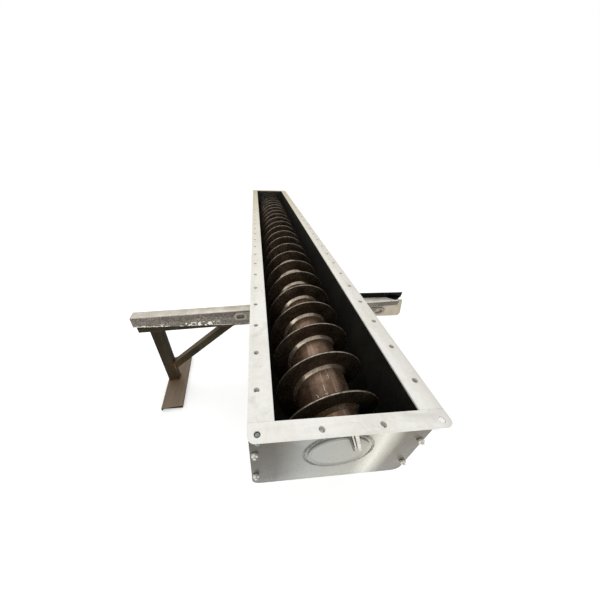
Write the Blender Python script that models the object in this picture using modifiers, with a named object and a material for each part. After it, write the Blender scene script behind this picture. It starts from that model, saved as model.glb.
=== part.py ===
"""Screw conveyor: an open U trough with bolted top flanges, a sectional flight screw
turning in it, a wide trestle under the near half and a narrow stand under the far half.

Everything is drawn in the trough's own frame: X across, Y along the trough from its near
end, Z up from the top of the flanges. An empty then carries it so that the floor is Z = 0
and the origin is at the bottom centre of the whole. Units are metres.
"""

import math

import bmesh
import bpy
from mathutils import Vector

# Trough
TROUGH_LENGTH = 2.6954
OPENING_HALF = 0.139
OUTER_HALF = 0.188
FLANGE_T = 0.005
SHELL_T = 0.003
CROSS_FLANGE_W = 0.0333
CORNER_R = 0.014
HOLE_R = 0.006
HOLE_LINE = 0.1704
HOLE_FIRST = 0.0977
HOLE_PITCH = 0.100
HOLE_COUNT = 26
CROSS_HOLE_Y = 0.0130
END_PLATE_T = 0.006
END_PLATE_BACK = 0.0293
END_PLATE_DROP = 0.2745
END_PLATE_R = 0.020

# Screw
AXIS_DROP = 0.1255
FLIGHT_R = 0.123
FLIGHT_T = 0.005
FLIGHT_PITCH = 0.108
FLIGHT_TOP_Y = 0.0827
SECTIONS = 12
STEPS_PER_TURN = 24
PIPE_R = 0.070
PIPE_WALL = 0.006
SHAFT_R = 0.025
SHAFT_FACE = 0.0115
SHAFT_HIDDEN = 0.0245
DISC_T = 0.012
END_GAP = 0.008

# Bearings on the end plates
BEARING_BORE = 0.02545
BEARING_FLANGE_R = 0.0725
BEARING_FLANGE_T = 0.0037
BUSH_START = 0.0236
BUSH_L = 0.013
RIB_TOP = (-0.0125, 0.0093)
RIB_FOOT = (0.022, 0.040)
RIB_LOW = -0.098
RIB_T = 0.010

# Near trestle, drawn square about its own centre and then turned under the trough
TRESTLE_Y = 0.740
TRESTLE_YAW = math.radians(4.0)
BEAM_X = (-0.765, 0.6255)
BEAM_DEPTH = 0.048
BEAM_DROP = 0.0555
BEAM_TAPER = 0.0355
TAPER_END = -0.220
BEAM_T = 0.004
BEAM_TOP = -0.2683
LIP_X = 0.190
LIP_H = 0.036
RAIL_SET_BACK = 0.0143
RAIL_DROP = 0.1040
POST_W = 0.0575
POST_D = 0.040
POST_LEFT = -0.680
POST_RIGHT = 0.440
BRACE_W = 0.040
BRACE_D = 0.038
BRACE_ANGLE = math.radians(39.75)
BRACE_RUN = 0.360
FOOT_W = 0.110
FOOT_H = 0.022
FOOT_T = 0.006
FOOT_FRONT = -0.160
FOOT_BACK = 0.205
FOOT_SHIFT = 0.017
FOOT_TOP = -0.768
FOOT_PIVOT = 0.034
FOOT_YAW = math.radians(1.2)
PLATE_T = 0.005
PLATE_X = (0.200, 0.668)
PLATE_Z = (-0.386, -0.2730)
LUG_T = 0.006
LUG_H = 0.050
SLOT_L = 0.036
SLOT_H = 0.020
SADDLE_T = 0.008
SADDLE_HALF = 0.168

# Loose angle that lies on the beam behind the trough, square with the trough
ANGLE_Y = 0.811
ANGLE_X = (0.240, 0.646)
ANGLE_LEG = 0.030
CLIP_X = (0.558, 0.594, 0.606, 0.645)
CLIP_FRONT = 0.7835
ANGLE_T = 0.004

# Far stand, the same sections at the trough's own width
STAND_Y = 1.840
STAND_HALF = 0.185
STAND_POST = 0.140

GAP = 0.0003
FLOOR = FOOT_TOP - FOOT_H
SHIFT_X = 0.0503


def clear_scene():
    """Remove what the scene starts with."""
    for obj in list(bpy.data.objects):
        bpy.data.objects.remove(obj, do_unlink=True)


def make_collection(name, hidden=False):
    """Add a collection under the scene, hidden from renders if it holds cutters."""
    collection = bpy.data.collections.new(name)
    bpy.context.scene.collection.children.link(collection)
    collection.hide_render = hidden
    return collection


def make_holder(name, location, parent=None, yaw=0.0):
    """An empty that carries a group of parts."""
    holder = bpy.data.objects.new(name, None)
    holder.location = location
    holder.rotation_euler = (0, 0, yaw)
    holder.parent = parent
    holder.empty_display_size = 0.05
    PARTS.objects.link(holder)
    return holder


def make_material(name, colour, metallic, roughness):
    """Add a Principled material."""
    material = bpy.data.materials.new(name)
    material.use_nodes = True
    shader = material.node_tree.nodes["Principled BSDF"]
    shader.inputs["Base Color"].default_value = (*colour, 1.0)
    shader.inputs["Metallic"].default_value = metallic
    shader.inputs["Roughness"].default_value = roughness
    material.diffuse_color = (*colour, 1.0)
    return material


clear_scene()
PARTS = make_collection("screw_conveyor")
CUTTERS = make_collection("cutters", hidden=True)
TROUGH = make_holder("trough_frame", (SHIFT_X, -TROUGH_LENGTH / 2, -FLOOR))
AXIS = make_holder("screw_axis", (0, 0, -AXIS_DROP), TROUGH)
TRESTLE = make_holder("trestle_frame", (0, TRESTLE_Y, 0), TROUGH, TRESTLE_YAW)
STAND = make_holder("stand_frame", (0, STAND_Y, 0), TROUGH)
FINISHES = {
    "flange": ((0.72, 0.71, 0.68), 0.2, 0.50),
    "shell": ((0.30, 0.31, 0.31), 0.7, 0.45),
    "galvanised": ((0.56, 0.55, 0.52), 0.8, 0.42),
    "screw": ((0.13, 0.095, 0.075), 0.7, 0.45),
    "shaft": ((0.45, 0.45, 0.44), 1.0, 0.30),
    "brown_steel": ((0.16, 0.13, 0.10), 0.4, 0.65),
    "black_steel": ((0.03, 0.028, 0.028), 0.3, 0.55),
}


def move_to(obj, collection, holder):
    """File the object in one collection and hang it on its holder."""
    for old in list(obj.users_collection):
        old.objects.unlink(obj)
    collection.objects.link(obj)
    obj.parent = holder
    return obj


def finish(obj, kind, holder=TROUGH):
    """Give the part its own material and shading, and hang it on its holder."""
    colour, metallic, roughness = FINISHES[kind]
    obj.data.materials.clear()
    obj.data.materials.append(make_material(obj.name + "_mat", colour, metallic, roughness))
    if obj.data.polygons:
        obj.data.shade_smooth()
        obj.data.set_sharp_from_angle(angle=math.radians(30))
    return move_to(obj, PARTS, holder)


def cut(target, cutter, holder=TROUGH, operation="DIFFERENCE"):
    """Boolean the target by the cutter, which stays hidden."""
    move_to(cutter, CUTTERS, holder)
    cutter.display_type = "WIRE"
    cutter.hide_render = True
    modifier = target.modifiers.new(operation.title() + "_" + cutter.name, "BOOLEAN")
    modifier.operation = operation
    modifier.solver = "EXACT"
    modifier.object = cutter
    return target


def block(name, low, high):
    """A box between two corners."""
    low, high = Vector(low), Vector(high)
    bpy.ops.mesh.primitive_cube_add(size=1, location=(low + high) / 2)
    obj = bpy.context.object
    obj.name = name
    obj.scale = high - low
    bpy.ops.object.transform_apply(location=False, rotation=False, scale=True)
    return obj


ROD_TURNS = {"Y": (-math.pi / 2, 0, 0), "Z": (0, 0, 0)}


def rod(name, radius, start, length, axis="Y", sides=24):
    """A cylinder that runs from start along +axis."""
    middle = Vector(start)
    middle["XYZ".index(axis)] += length / 2
    bpy.ops.mesh.primitive_cylinder_add(
        vertices=sides, radius=radius, depth=length, location=middle, rotation=ROD_TURNS[axis]
    )
    obj = bpy.context.object
    obj.name = name
    return obj


def arc(centre, radius, start, end, steps):
    """Points of an arc, angles in degrees."""
    angles = (math.radians(start + (end - start) * k / steps) for k in range(steps + 1))
    return [(centre[0] + radius * math.cos(a), centre[1] + radius * math.sin(a)) for a in angles]


def rounded(low, high, radii, steps=4):
    """Outline of a rectangle; radii are for bottom right, top right, top left, bottom left."""
    corners = ((high[0], low[1], 1, -1, -90), (high[0], high[1], 1, 1, 0),
               (low[0], high[1], -1, 1, 90), (low[0], low[1], -1, -1, 180))
    points = []
    for (x, y, sx, sy, turn), radius in zip(corners, radii):
        if radius:
            points += arc((x - sx * radius, y - sy * radius), radius, turn, turn + 90, steps)
        else:
            points.append((x, y))
    return points


OUTLINE_TURNS = {"X": (math.pi / 2, 0, math.pi / 2), "Y": (math.pi / 2, 0, 0), "Z": (0, 0, 0)}


def prism(name, outline, axis, start, end):
    """A filled flat outline, square to the axis, that runs from start to end along it."""
    curve = bpy.data.curves.new(name + "_outline", "CURVE")
    curve.dimensions = "2D"
    curve.fill_mode = "BOTH"
    curve.extrude = (end - start) / 2
    spline = curve.splines.new("POLY")
    spline.points.add(len(outline) - 1)
    for point, (u, v) in zip(spline.points, outline):
        point.co = (u, v, 0, 1)
    spline.use_cyclic_u = True
    drawn = bpy.data.objects.new(name + "_outline", curve)
    drawn.location["XYZ".index(axis)] = (start + end) / 2
    drawn.rotation_euler = OUTLINE_TURNS[axis]
    bpy.context.scene.collection.objects.link(drawn)
    bpy.context.view_layer.update()
    graph = bpy.context.evaluated_depsgraph_get()
    mesh = bpy.data.meshes.new_from_object(drawn.evaluated_get(graph))
    welded = bmesh.new()
    welded.from_mesh(mesh)
    bmesh.ops.remove_doubles(welded, verts=welded.verts, dist=0.00001)
    bmesh.ops.recalc_face_normals(welded, faces=welded.faces)
    welded.to_mesh(mesh)
    welded.free()
    obj = bpy.data.objects.new(name, mesh)
    obj.location = drawn.location
    obj.rotation_euler = drawn.rotation_euler
    PARTS.objects.link(obj)
    bpy.data.objects.remove(drawn)
    return obj


def row(obj, count, step):
    """Repeat a cutter in a row."""
    modifier = obj.modifiers.new("Row", "ARRAY")
    modifier.count = count
    modifier.use_relative_offset = False
    modifier.use_constant_offset = True
    modifier.constant_offset_displace = step
    return obj


def ring(name, outer, inner, y_start, length, sides=40):
    """A plain ring about the screw's axis."""
    obj = rod(name, outer, (0, y_start, 0), length, sides=sides)
    bore = rod(name + "_bore", inner, (0, y_start - 0.01, 0), length + 0.02, sides=sides)
    return cut(obj, bore, AXIS)


def trough_shell():
    """The U of the trough, open at the top."""
    top = -FLANGE_T - GAP
    outside = OPENING_HALF + SHELL_T
    outer = arc((0, -AXIS_DROP), outside, 180, 360, 20)
    inner = arc((0, -AXIS_DROP), OPENING_HALF, 360, 180, 20)
    outline = [(-outside, top), *outer, (outside, top), (OPENING_HALF, top), *inner, (-OPENING_HALF, top)]
    start = END_PLATE_BACK + GAP
    finish(prism("trough_shell", outline, "Y", start, TROUGH_LENGTH - start), "shell")


def side_flange(name, side):
    """A side flange with its row of bolt holes."""
    low, high = sorted((side * OPENING_HALF, side * OUTER_HALF))
    start = CROSS_FLANGE_W + GAP
    obj = block(name, (low, start, -FLANGE_T), (high, TROUGH_LENGTH - start, 0))
    hole = rod(name + "_holes", HOLE_R, (side * HOLE_LINE, HOLE_FIRST, -0.015), 0.030, "Z", 12)
    cut(obj, row(hole, HOLE_COUNT, (0, HOLE_PITCH, 0)))
    finish(obj, "flange")


def cross_flange(name, far):
    """The flange across one end of the trough, with four bolt holes and round outer corners."""
    outline = rounded((-OUTER_HALF, 0), (OUTER_HALF, CROSS_FLANGE_W), (CORNER_R, 0, 0, CORNER_R))
    hole_y = CROSS_HOLE_Y
    if far:
        outline = [(-u, TROUGH_LENGTH - v) for u, v in outline]
        hole_y = TROUGH_LENGTH - CROSS_HOLE_Y
    obj = prism(name, outline, "Z", -FLANGE_T, 0)
    hole = rod(name + "_holes", HOLE_R, (-HOLE_LINE, hole_y, -0.015), 0.030, "Z", 12)
    cut(obj, row(hole, 4, (2 * HOLE_LINE / 3, 0, 0)))
    finish(obj, "flange")


def along(y, length, far):
    """Where a piece of this length starts, measured from its own end of the trough."""
    return TROUGH_LENGTH - y - length if far else y


def end_set(end, far):
    """End plate, bearing and slanting rib of one end: the near bearing is capped, the far one open."""
    face = END_PLATE_BACK - END_PLATE_T
    low, high = (-OUTER_HALF, -END_PLATE_DROP), (OUTER_HALF, -FLANGE_T - GAP)
    outline = rounded(low, high, (END_PLATE_R, 0, 0, END_PLATE_R))
    start = along(face, END_PLATE_T, far)
    plate = prism("end_plate_" + end, outline, "Y", start, start + END_PLATE_T)
    bore = rod("end_bore_" + end, SHAFT_R + 0.006, (0, start - 0.01, 0), END_PLATE_T + 0.02)
    finish(cut(plate, bore, AXIS), "galvanised")
    face -= GAP + BEARING_FLANGE_T
    start = along(face, BEARING_FLANGE_T, far)
    if far:
        bearing = ring("bearing_flange", BEARING_FLANGE_R, BEARING_BORE, start, BEARING_FLANGE_T)
    else:
        bearing = rod("bearing_cap", BEARING_FLANGE_R, (0, start, 0), BEARING_FLANGE_T, sides=40)
        bush = ring("bearing_bush", SHAFT_R + 0.006 - GAP, BEARING_BORE, BUSH_START, BUSH_L, 24)
        finish(bush, "shaft", AXIS)
    finish(bearing, "galvanised", AXIS)
    start = along(face - GAP - RIB_T, RIB_T, far)
    top = -FLANGE_T - GAP
    outline = [(RIB_FOOT[0], RIB_LOW), (RIB_FOOT[1], RIB_LOW), (RIB_TOP[1], top), (RIB_TOP[0], top)]
    finish(prism("end_rib_" + end, outline, "Y", start, start + RIB_T), "galvanised")


def screw_span():
    """Where the pipe starts and stops along the trough."""
    start = CROSS_FLANGE_W + END_GAP
    return start, TROUGH_LENGTH - start


def stub_shaft(end, far):
    """A disc in the pipe's end with the shaft in the bearing, which comes out at the far end only."""
    start, _ = screw_span()
    disc_start = along(start + 0.001, DISC_T, far)
    inside = PIPE_R - PIPE_WALL - GAP
    obj = rod("stub_shaft_" + end, inside, (0, disc_start, 0), DISC_T, sides=32)
    face = SHAFT_FACE if far else SHAFT_HIDDEN
    length = start + DISC_T / 2 - face
    shaft = rod("shaft_" + end, SHAFT_R, (0, along(face, length, far), 0), length)
    finish(cut(obj, shaft, AXIS, "UNION"), "shaft", AXIS)


def screw_pipe():
    """The pipe that carries the flights."""
    start, end = screw_span()
    finish(ring("screw_pipe", PIPE_R, PIPE_R - PIPE_WALL, start, end - start, 32), "screw", AXIS)


def flights():
    """Sections of flight: a radial line swept round the axis, then thickened."""
    start, end = screw_span()
    start, end = start + FLIGHT_T, end - FLIGHT_T
    turns = (end - start) / FLIGHT_PITCH / SECTIONS
    inner = (PIPE_R + GAP) / math.cos(math.pi / STEPS_PER_TURN)
    seam = math.radians(0.3)
    for number in range(SECTIONS):
        y = start + number * turns * FLIGHT_PITCH
        angle = 2 * math.pi * (y - FLIGHT_TOP_Y) / FLIGHT_PITCH
        name = "flight_%02d" % (number + 1)
        mesh = bpy.data.meshes.new(name)
        line = bmesh.new()
        line.edges.new([line.verts.new((r * math.sin(angle), 0, r * math.cos(angle)))
                        for r in (inner, FLIGHT_R)])
        line.to_mesh(mesh)
        line.free()
        obj = bpy.data.objects.new(name, mesh)
        obj.location = (0, y, 0)
        sweep = obj.modifiers.new("Sweep", "SCREW")
        sweep.axis = "Y"
        sweep.angle = 2 * math.pi * turns - seam
        sweep.screw_offset = FLIGHT_PITCH * (turns - seam / (2 * math.pi))
        sweep.steps = sweep.render_steps = round(turns * STEPS_PER_TURN)
        sweep.use_smooth_shade = True
        thick = obj.modifiers.new("Thickness", "SOLIDIFY")
        thick.thickness = FLIGHT_T
        thick.offset = 0
        PARTS.objects.link(obj)
        finish(obj, "screw", AXIS)


def folded_beam(name, x_low, x_high, holder):
    """The galvanised beam: a flat top and a front face that gets taller towards the trough."""
    z = BEAM_TOP
    t = BEAM_T
    deep = z - BEAM_DROP - BEAM_TAPER
    outline = [(0, deep), (t, deep), (t, z - t), (BEAM_DEPTH, z - t), (BEAM_DEPTH, z), (0.006, z), (0, z - 0.006)]
    obj = prism(name, outline, "X", x_low, x_high)
    if x_low < TAPER_END:
        wedge = [(x_low - 0.01, deep - 0.01), (TAPER_END, deep - 0.01), (TAPER_END, deep),
                 (x_low - 0.01, deep + BEAM_TAPER)]
        cut(obj, prism(name + "_taper", wedge, "Y", -0.01, 0.02), holder)
        under = ((LIP_X, -0.01, deep - 0.01), (x_high + 0.01, t + 0.001, z - LIP_H))
        cut(obj, block(name + "_lip", *under), holder)
    finish(obj, "galvanised", holder)


def channel_foot(name, x_mid, parent, yaw=0.0):
    """A channel lying along the trough, web up, turned a little about its post."""
    holder = make_holder(name + "_frame", (x_mid, FOOT_PIVOT, 0), parent, yaw)
    low, high, t = -FOOT_W / 2, FOOT_W / 2, FOOT_T
    outline = [(low, FLOOR), (low + t, FLOOR), (low + t, FOOT_TOP - t), (high - t, FOOT_TOP - t),
               (high - t, FLOOR), (high, FLOOR), (high, FOOT_TOP - 0.004), (high - 0.004, FOOT_TOP),
               (low + 0.004, FOOT_TOP), (low, FOOT_TOP - 0.004)]
    start, end = FOOT_FRONT - FOOT_PIVOT, FOOT_BACK - FOOT_PIVOT
    finish(prism(name, outline, "Y", start, end), "brown_steel", holder)


def post(name, x, holder):
    """An upright between a foot and the rail."""
    low = (x - POST_W / 2, RAIL_SET_BACK, FOOT_TOP + GAP)
    high = (x + POST_W / 2, RAIL_SET_BACK + POST_D, BEAM_TOP - RAIL_DROP - GAP)
    finish(block(name, low, high), "brown_steel", holder)


def rail(name, x_low, x_high, holder):
    """The steel rail inside the folded beam."""
    low = (x_low + 0.005, RAIL_SET_BACK, BEAM_TOP - RAIL_DROP)
    high = (x_high - 0.005, BEAM_DEPTH, BEAM_TOP - BEAM_T - GAP)
    finish(block(name, low, high), "brown_steel", holder)


def brace(name, x_post, side, holder):
    """A sloping bar between a post's side and the rail's underside, cut to meet both."""
    x_beam = x_post + side * BRACE_RUN
    z_high = BEAM_TOP - RAIL_DROP - GAP
    z_low = z_high - BRACE_RUN * math.tan(BRACE_ANGLE)
    rise, run = BRACE_W / math.cos(BRACE_ANGLE), BRACE_W / math.sin(BRACE_ANGLE)
    outline = [(x_post, z_low), (x_post, z_low + rise), (x_beam - side * run, z_high), (x_beam, z_high)]
    start = RAIL_SET_BACK + 0.002
    finish(prism(name, outline, "Y", start, start + BRACE_D), "brown_steel", holder)


def saddle(name, y):
    """A plate cut to the trough's round, standing on the beam."""
    half, low = SADDLE_HALF, BEAM_TOP + GAP
    top = low + 0.120
    reach = OPENING_HALF + SHELL_T + GAP
    rise = top + AXIS_DROP
    angle = math.degrees(math.atan2(rise, math.sqrt(reach ** 2 - rise ** 2)))
    round_cut = arc((0, -AXIS_DROP), reach / math.cos(math.pi / 40), angle, -180 - angle, 24)
    outline = [(-half, low), (half, low), (half, top - 0.030), (half - 0.012, top), *round_cut,
               (-half + 0.012, top), (-half, top - 0.030)]
    finish(prism(name, outline, "Y", y, y + SADDLE_T), "galvanised")


def lug(name, x_low, x_high, z_mid, face, round_left):
    """A flat bar with one round end and a slotted hole, against the beam's front."""
    half, radius = LUG_H / 2, LUG_H * 0.49
    radii = (0, 0, radius, radius) if round_left else (radius, radius, 0, 0)
    outline = rounded((x_low, z_mid - half), (x_high, z_mid + half), radii, 6)
    obj = prism(name, outline, "Y", face - LUG_T, face)
    mid = x_low + SLOT_L if round_left else x_high - SLOT_L
    low, high = (mid - SLOT_L / 2, z_mid - SLOT_H / 2), (mid + SLOT_L / 2, z_mid + SLOT_H / 2)
    slot = rounded(low, high, [SLOT_H * 0.49] * 4, 3)
    cut(obj, prism(name + "_slot", slot, "Y", face - LUG_T - 0.01, face + 0.01), TRESTLE)
    finish(obj, "galvanised", TRESTLE)


def trestle():
    """The wide trestle under the near half, with its splice plate and lugs."""
    folded_beam("cross_beam_front", *BEAM_X, TRESTLE)
    rail("rail_front", *BEAM_X, TRESTLE)
    for side, x, inward in (("left", POST_LEFT, 1), ("right", POST_RIGHT, -1)):
        post("post_front_" + side, x, TRESTLE)
        brace("brace_front_" + side, x + inward * (POST_W / 2 + GAP), inward, TRESTLE)
        channel_foot("foot_front_" + side, x + inward * FOOT_SHIFT, TRESTLE, FOOT_YAW)
    (x_low, x_high), (z_low, z_high) = PLATE_X, PLATE_Z
    plate = [(x_low, z_low + 0.028), *arc((x_high - 0.020, z_low + 0.020), 0.020, -90, 8, 5),
             (x_high - 0.020, z_high), (x_low, z_high)]
    front = BEAM_T + GAP
    finish(prism("splice_plate", plate, "Y", front, front + PLATE_T), "galvanised", TRESTLE)
    lug("lug_left", -0.290, -0.170, -0.299, -GAP, True)
    lug("lug_right", 0.380, 0.554, -0.338, front - GAP, False)


def back_angle():
    """The loose angle bar that lies on the beam behind the trough, and the clip at its foot."""
    y, z, leg, t = ANGLE_Y, BEAM_TOP + GAP, ANGLE_LEG, ANGLE_T
    outline = [(y, z), (y + leg, z), (y + leg, z + t), (y + t, z + t), (y + t, z + leg), (y, z + leg)]
    finish(prism("back_angle", outline, "X", *ANGLE_X), "black_steel")
    (left, tip_left, tip_right, right), back = CLIP_X, ANGLE_Y - GAP
    clip = [(left, back), (tip_left, CLIP_FRONT), (tip_right, CLIP_FRONT), (right, back)]
    finish(prism("angle_clip", clip, "Z", z, z + t), "black_steel")


def stand():
    """The narrow stand under the far half."""
    folded_beam("cross_beam_rear", -STAND_HALF, STAND_HALF, STAND)
    rail("rail_rear", -STAND_HALF, STAND_HALF, STAND)
    for side, sign in (("left", -1), ("right", 1)):
        post("post_rear_" + side, sign * STAND_POST, STAND)
        channel_foot("foot_rear_" + side, sign * STAND_POST, STAND)


trough_shell()
side_flange("flange_left", -1)
side_flange("flange_right", 1)
cross_flange("flange_front", False)
cross_flange("flange_rear", True)
end_set("front", False)
end_set("rear", True)
screw_pipe()
stub_shaft("front", False)
stub_shaft("rear", True)
flights()
trestle()
back_angle()
saddle("saddle_front", TRESTLE_Y + 0.018)
stand()
saddle("saddle_rear", STAND_Y + 0.018)
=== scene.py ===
"""Open-topped screw conveyor: its looks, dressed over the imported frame.

The trough, the screw, the two stands and the loose angle are classes that hold their own sizes
in metres. A piece is drawn in the frame of its own sub-assembly, X across, Y along the trough
from its near end and Z up from the top of the flanges, and is then carried into place.
"""

from __future__ import annotations

import logging
import math
import random
from contextlib import contextmanager
from dataclasses import dataclass, field
from enum import Enum
from typing import Any, Callable, Iterator, Sequence

import bmesh
import bpy
from mathutils import Matrix, Vector


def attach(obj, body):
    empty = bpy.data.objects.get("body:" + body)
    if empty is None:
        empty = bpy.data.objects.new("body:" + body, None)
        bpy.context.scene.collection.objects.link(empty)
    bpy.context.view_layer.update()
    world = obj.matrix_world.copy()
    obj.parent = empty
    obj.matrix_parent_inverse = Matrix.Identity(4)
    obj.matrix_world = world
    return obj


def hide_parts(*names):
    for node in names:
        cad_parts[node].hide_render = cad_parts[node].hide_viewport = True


LOG = logging.getLogger("screw_conveyor")
Point = tuple[float, float]
Piece = bpy.types.Object
Outline = Sequence[Point]

LENGTH = 2.6954
TROUGH_PLACE = Matrix.Translation((0.0503, -LENGTH / 2, 0.790))
AXIS_DROP = 0.1255
AXIS_PLACE = TROUGH_PLACE @ Matrix.Translation((0, 0, -AXIS_DROP))
TRESTLE_TURN = Matrix.Rotation(math.radians(4), 4, "Z")
TRESTLE_PLACE = TROUGH_PLACE @ Matrix.Translation((0, 0.740, 0)) @ TRESTLE_TURN
STAND_PLACE = TROUGH_PLACE @ Matrix.Translation((0, 1.840, 0))
BEAM_LOW, BEAM_HIGH = 0.4662, 0.5217  # the heights of the front beam's edges above the floor
SHARP = math.radians(35)  # edges sharper than this are rounded
CREASE = math.radians(32)  # faces that meet at less than this are shaded as one


class Axis(Enum):
    """The direction in which a flat outline is drawn out."""

    X = "X"
    Y = "Y"
    Z = "Z"


class Body(Enum):
    """The bodies of the frame that a piece can ride on."""

    FRAME = "frame"
    SCREW = "screw"


class Slot(Enum):
    """The record's material slots."""

    FLANGE = "flange_paint"
    TROUGH = "trough_plate"
    SCREW = "screw_steel"
    SHAFT = "shaft_steel"
    ZINC = "galvanised_plate"
    SPLICE = "splice_steel"
    ANGLE = "black_angle"
    BROWN = "brown_steel"


class End(Enum):
    """The two ends of the trough."""

    FRONT = "front"
    REAR = "rear"


# Modelling


def only(obj: Piece) -> None:
    """Make this object the one that is selected and active.

    Args:
        obj: The object.
    """
    bpy.ops.object.select_all(action="DESELECT")
    obj.select_set(True)
    bpy.context.view_layer.objects.active = obj


@contextmanager
def editing(obj: Piece, kind: str = "FACE") -> Iterator[bmesh.types.BMesh]:
    """Open a piece in edit mode with nothing selected.

    Args:
        obj: The piece.
        kind: What is selected in it, VERT, EDGE or FACE.
    """
    only(obj)
    bpy.ops.object.mode_set(mode="EDIT")
    bpy.ops.mesh.select_mode(type=kind)
    bpy.ops.mesh.select_all(action="DESELECT")
    try:
        yield bmesh.from_edit_mesh(obj.data)
    finally:
        bpy.ops.object.mode_set(mode="OBJECT")


def pick_faces(obj: Piece, shape: bmesh.types.BMesh, wanted: Callable[[Vector, Vector], bool]) -> None:
    """Select faces of a piece in edit mode.

    Args:
        obj: The piece.
        shape: Its mesh in edit mode.
        wanted: Takes a face's middle and its normal, and says whether it is wanted.
    """
    for face in shape.faces:
        face.select_set(wanted(face.calc_center_median(), face.normal))
    bmesh.update_edit_mesh(obj.data)


def spot(axis: Axis, u: float, v: float, w: float) -> Vector:
    """The point at u, v of an outline and w along its axis."""
    return Vector({Axis.X: (w, u, v), Axis.Y: (u, w, v), Axis.Z: (u, v, w)}[axis])


def swept(name: str, outline: Outline, axis: Axis, stations: Sequence[float]) -> Piece:
    """Draw a filled flat outline out along an axis.

    Args:
        name: The new piece's name.
        outline: The outline's corners in order.
        axis: The axis that it is drawn out along.
        stations: Where along the axis it has a ring of edges.

    Returns:
        The closed piece.
    """
    bpy.ops.object.select_all(action="DESELECT")
    bpy.ops.mesh.primitive_circle_add(vertices=len(outline), radius=1, fill_type="NGON")
    obj = bpy.context.object
    obj.name = name
    bpy.ops.object.mode_set(mode="EDIT")
    bpy.ops.mesh.select_mode(type="FACE")
    bpy.ops.mesh.select_all(action="SELECT")
    shape = bmesh.from_edit_mesh(obj.data)
    for vertex, (u, v) in zip(shape.verts, outline):
        vertex.co = spot(axis, u, v, stations[0])
    bmesh.update_edit_mesh(obj.data)
    for here, there in zip(stations, stations[1:]):
        step = spot(axis, 0, 0, there - here)
        bpy.ops.mesh.extrude_region_move(TRANSFORM_OT_translate={"value": step})
    bpy.ops.mesh.select_all(action="SELECT")
    bpy.ops.mesh.normals_make_consistent(inside=False)
    bpy.ops.object.mode_set(mode="OBJECT")
    return obj


def apply_modifier(obj: Piece, kind: str, **settings: Any) -> None:
    """Add a modifier with these settings and apply it at once.

    Args:
        obj: The piece.
        kind: The modifier's type.
        **settings: Its properties by name.
    """
    only(obj)
    modifier = obj.modifiers.new(kind.title(), kind)
    for key, value in settings.items():
        setattr(modifier, key, value)
    bpy.ops.object.modifier_apply(modifier=modifier.name)


def shaded(obj: Piece, crease: float = CREASE) -> Piece:
    """Shade a piece smooth, but for creases sharper than an angle.

    Args:
        obj: The piece.
        crease: The angle in radians.

    Returns:
        The same piece.
    """
    only(obj)
    bpy.ops.object.shade_smooth_by_angle(angle=crease)
    return obj


def rounded_off(obj: Piece, width: float, segments: int = 2) -> Piece:
    """Round the sharp edges of a piece and shade it smooth between them.

    Args:
        obj: The piece.
        width: The width of the rounding.
        segments: The faces across it.

    Returns:
        The same piece.
    """
    apply_modifier(obj, "BEVEL", width=width, segments=segments, limit_method="ANGLE",
                   angle_limit=SHARP, use_clamp_overlap=True)
    return shaded(obj)


def repeated(obj: Piece, count: int, step: Vector) -> Piece:
    """Repeat a piece within its own mesh, one step from one to the next.

    Args:
        obj: The piece.
        count: How many there are in the end.
        step: From one to the next.

    Returns:
        The same piece.
    """
    apply_modifier(obj, "ARRAY", count=count, use_relative_offset=False,
                   use_constant_offset=True, constant_offset_displace=step)
    return obj


def cut_out(obj: Piece, cutter: Piece) -> Piece:
    """Take the cutter's shape out of a piece and remove the cutter.

    Args:
        obj: The piece.
        cutter: The shape to take out.

    Returns:
        The piece.
    """
    apply_modifier(obj, "BOOLEAN", operation="DIFFERENCE", solver="EXACT", object=cutter)
    bpy.data.objects.remove(cutter)
    return obj


def round_bar(name: str, radius: float, start: Vector | Sequence[float], length: float,
              axis: Axis = Axis.Y, sides: int = 32) -> Piece:
    """Add a bar of round or regular section from a start along an axis.

    Args:
        name: The new piece's name.
        radius: Its radius.
        start: The middle of its first end.
        length: Its length.
        axis: The axis that it runs along.
        sides: The sides of its section.

    Returns:
        The piece.
    """
    middle = Vector(start) + spot(axis, 0, 0, length / 2)
    turn = {Axis.X: (0, math.pi / 2, 0), Axis.Y: (math.pi / 2, 0, 0), Axis.Z: (0, 0, 0)}[axis]
    bpy.ops.object.select_all(action="DESELECT")
    bpy.ops.mesh.primitive_cylinder_add(vertices=sides, radius=radius, depth=length,
                                        location=middle, rotation=turn)
    obj = bpy.context.object
    obj.name = name
    bpy.ops.object.transform_apply(location=True, rotation=True, scale=True)
    return obj


def copy_of(obj: Piece, name: str, matrix: Matrix | None = None) -> Piece:
    """Copy a piece with its own mesh and carry the mesh by a matrix.

    Args:
        obj: The piece to copy.
        name: The copy's name.
        matrix: Where the copy goes, against the first.

    Returns:
        The copy.
    """
    only(obj)
    bpy.ops.object.duplicate(linked=False)
    twin = bpy.context.object
    twin.name = name
    return carried(twin, matrix) if matrix else twin


def carried(obj: Piece, matrix: Matrix) -> Piece:
    """Carry a piece by a matrix and leave its object at the origin.

    Args:
        obj: The piece.
        matrix: Where it goes, against where it is.

    Returns:
        The same piece.
    """
    obj.matrix_world = matrix @ obj.matrix_world
    only(obj)
    bpy.ops.object.transform_apply(location=True, rotation=True, scale=True)
    return obj


def joined(pieces: Sequence[Piece], name: str) -> Piece:
    """Join pieces into one object of this name.

    Args:
        pieces: The pieces.
        name: The name of the result.

    Returns:
        The joined piece.
    """
    bpy.ops.object.select_all(action="DESELECT")
    for piece in pieces:
        piece.select_set(True)
    bpy.context.view_layer.objects.active = pieces[0]
    if len(pieces) > 1:
        bpy.ops.object.join()
    pieces[0].name = name
    return pieces[0]


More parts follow.
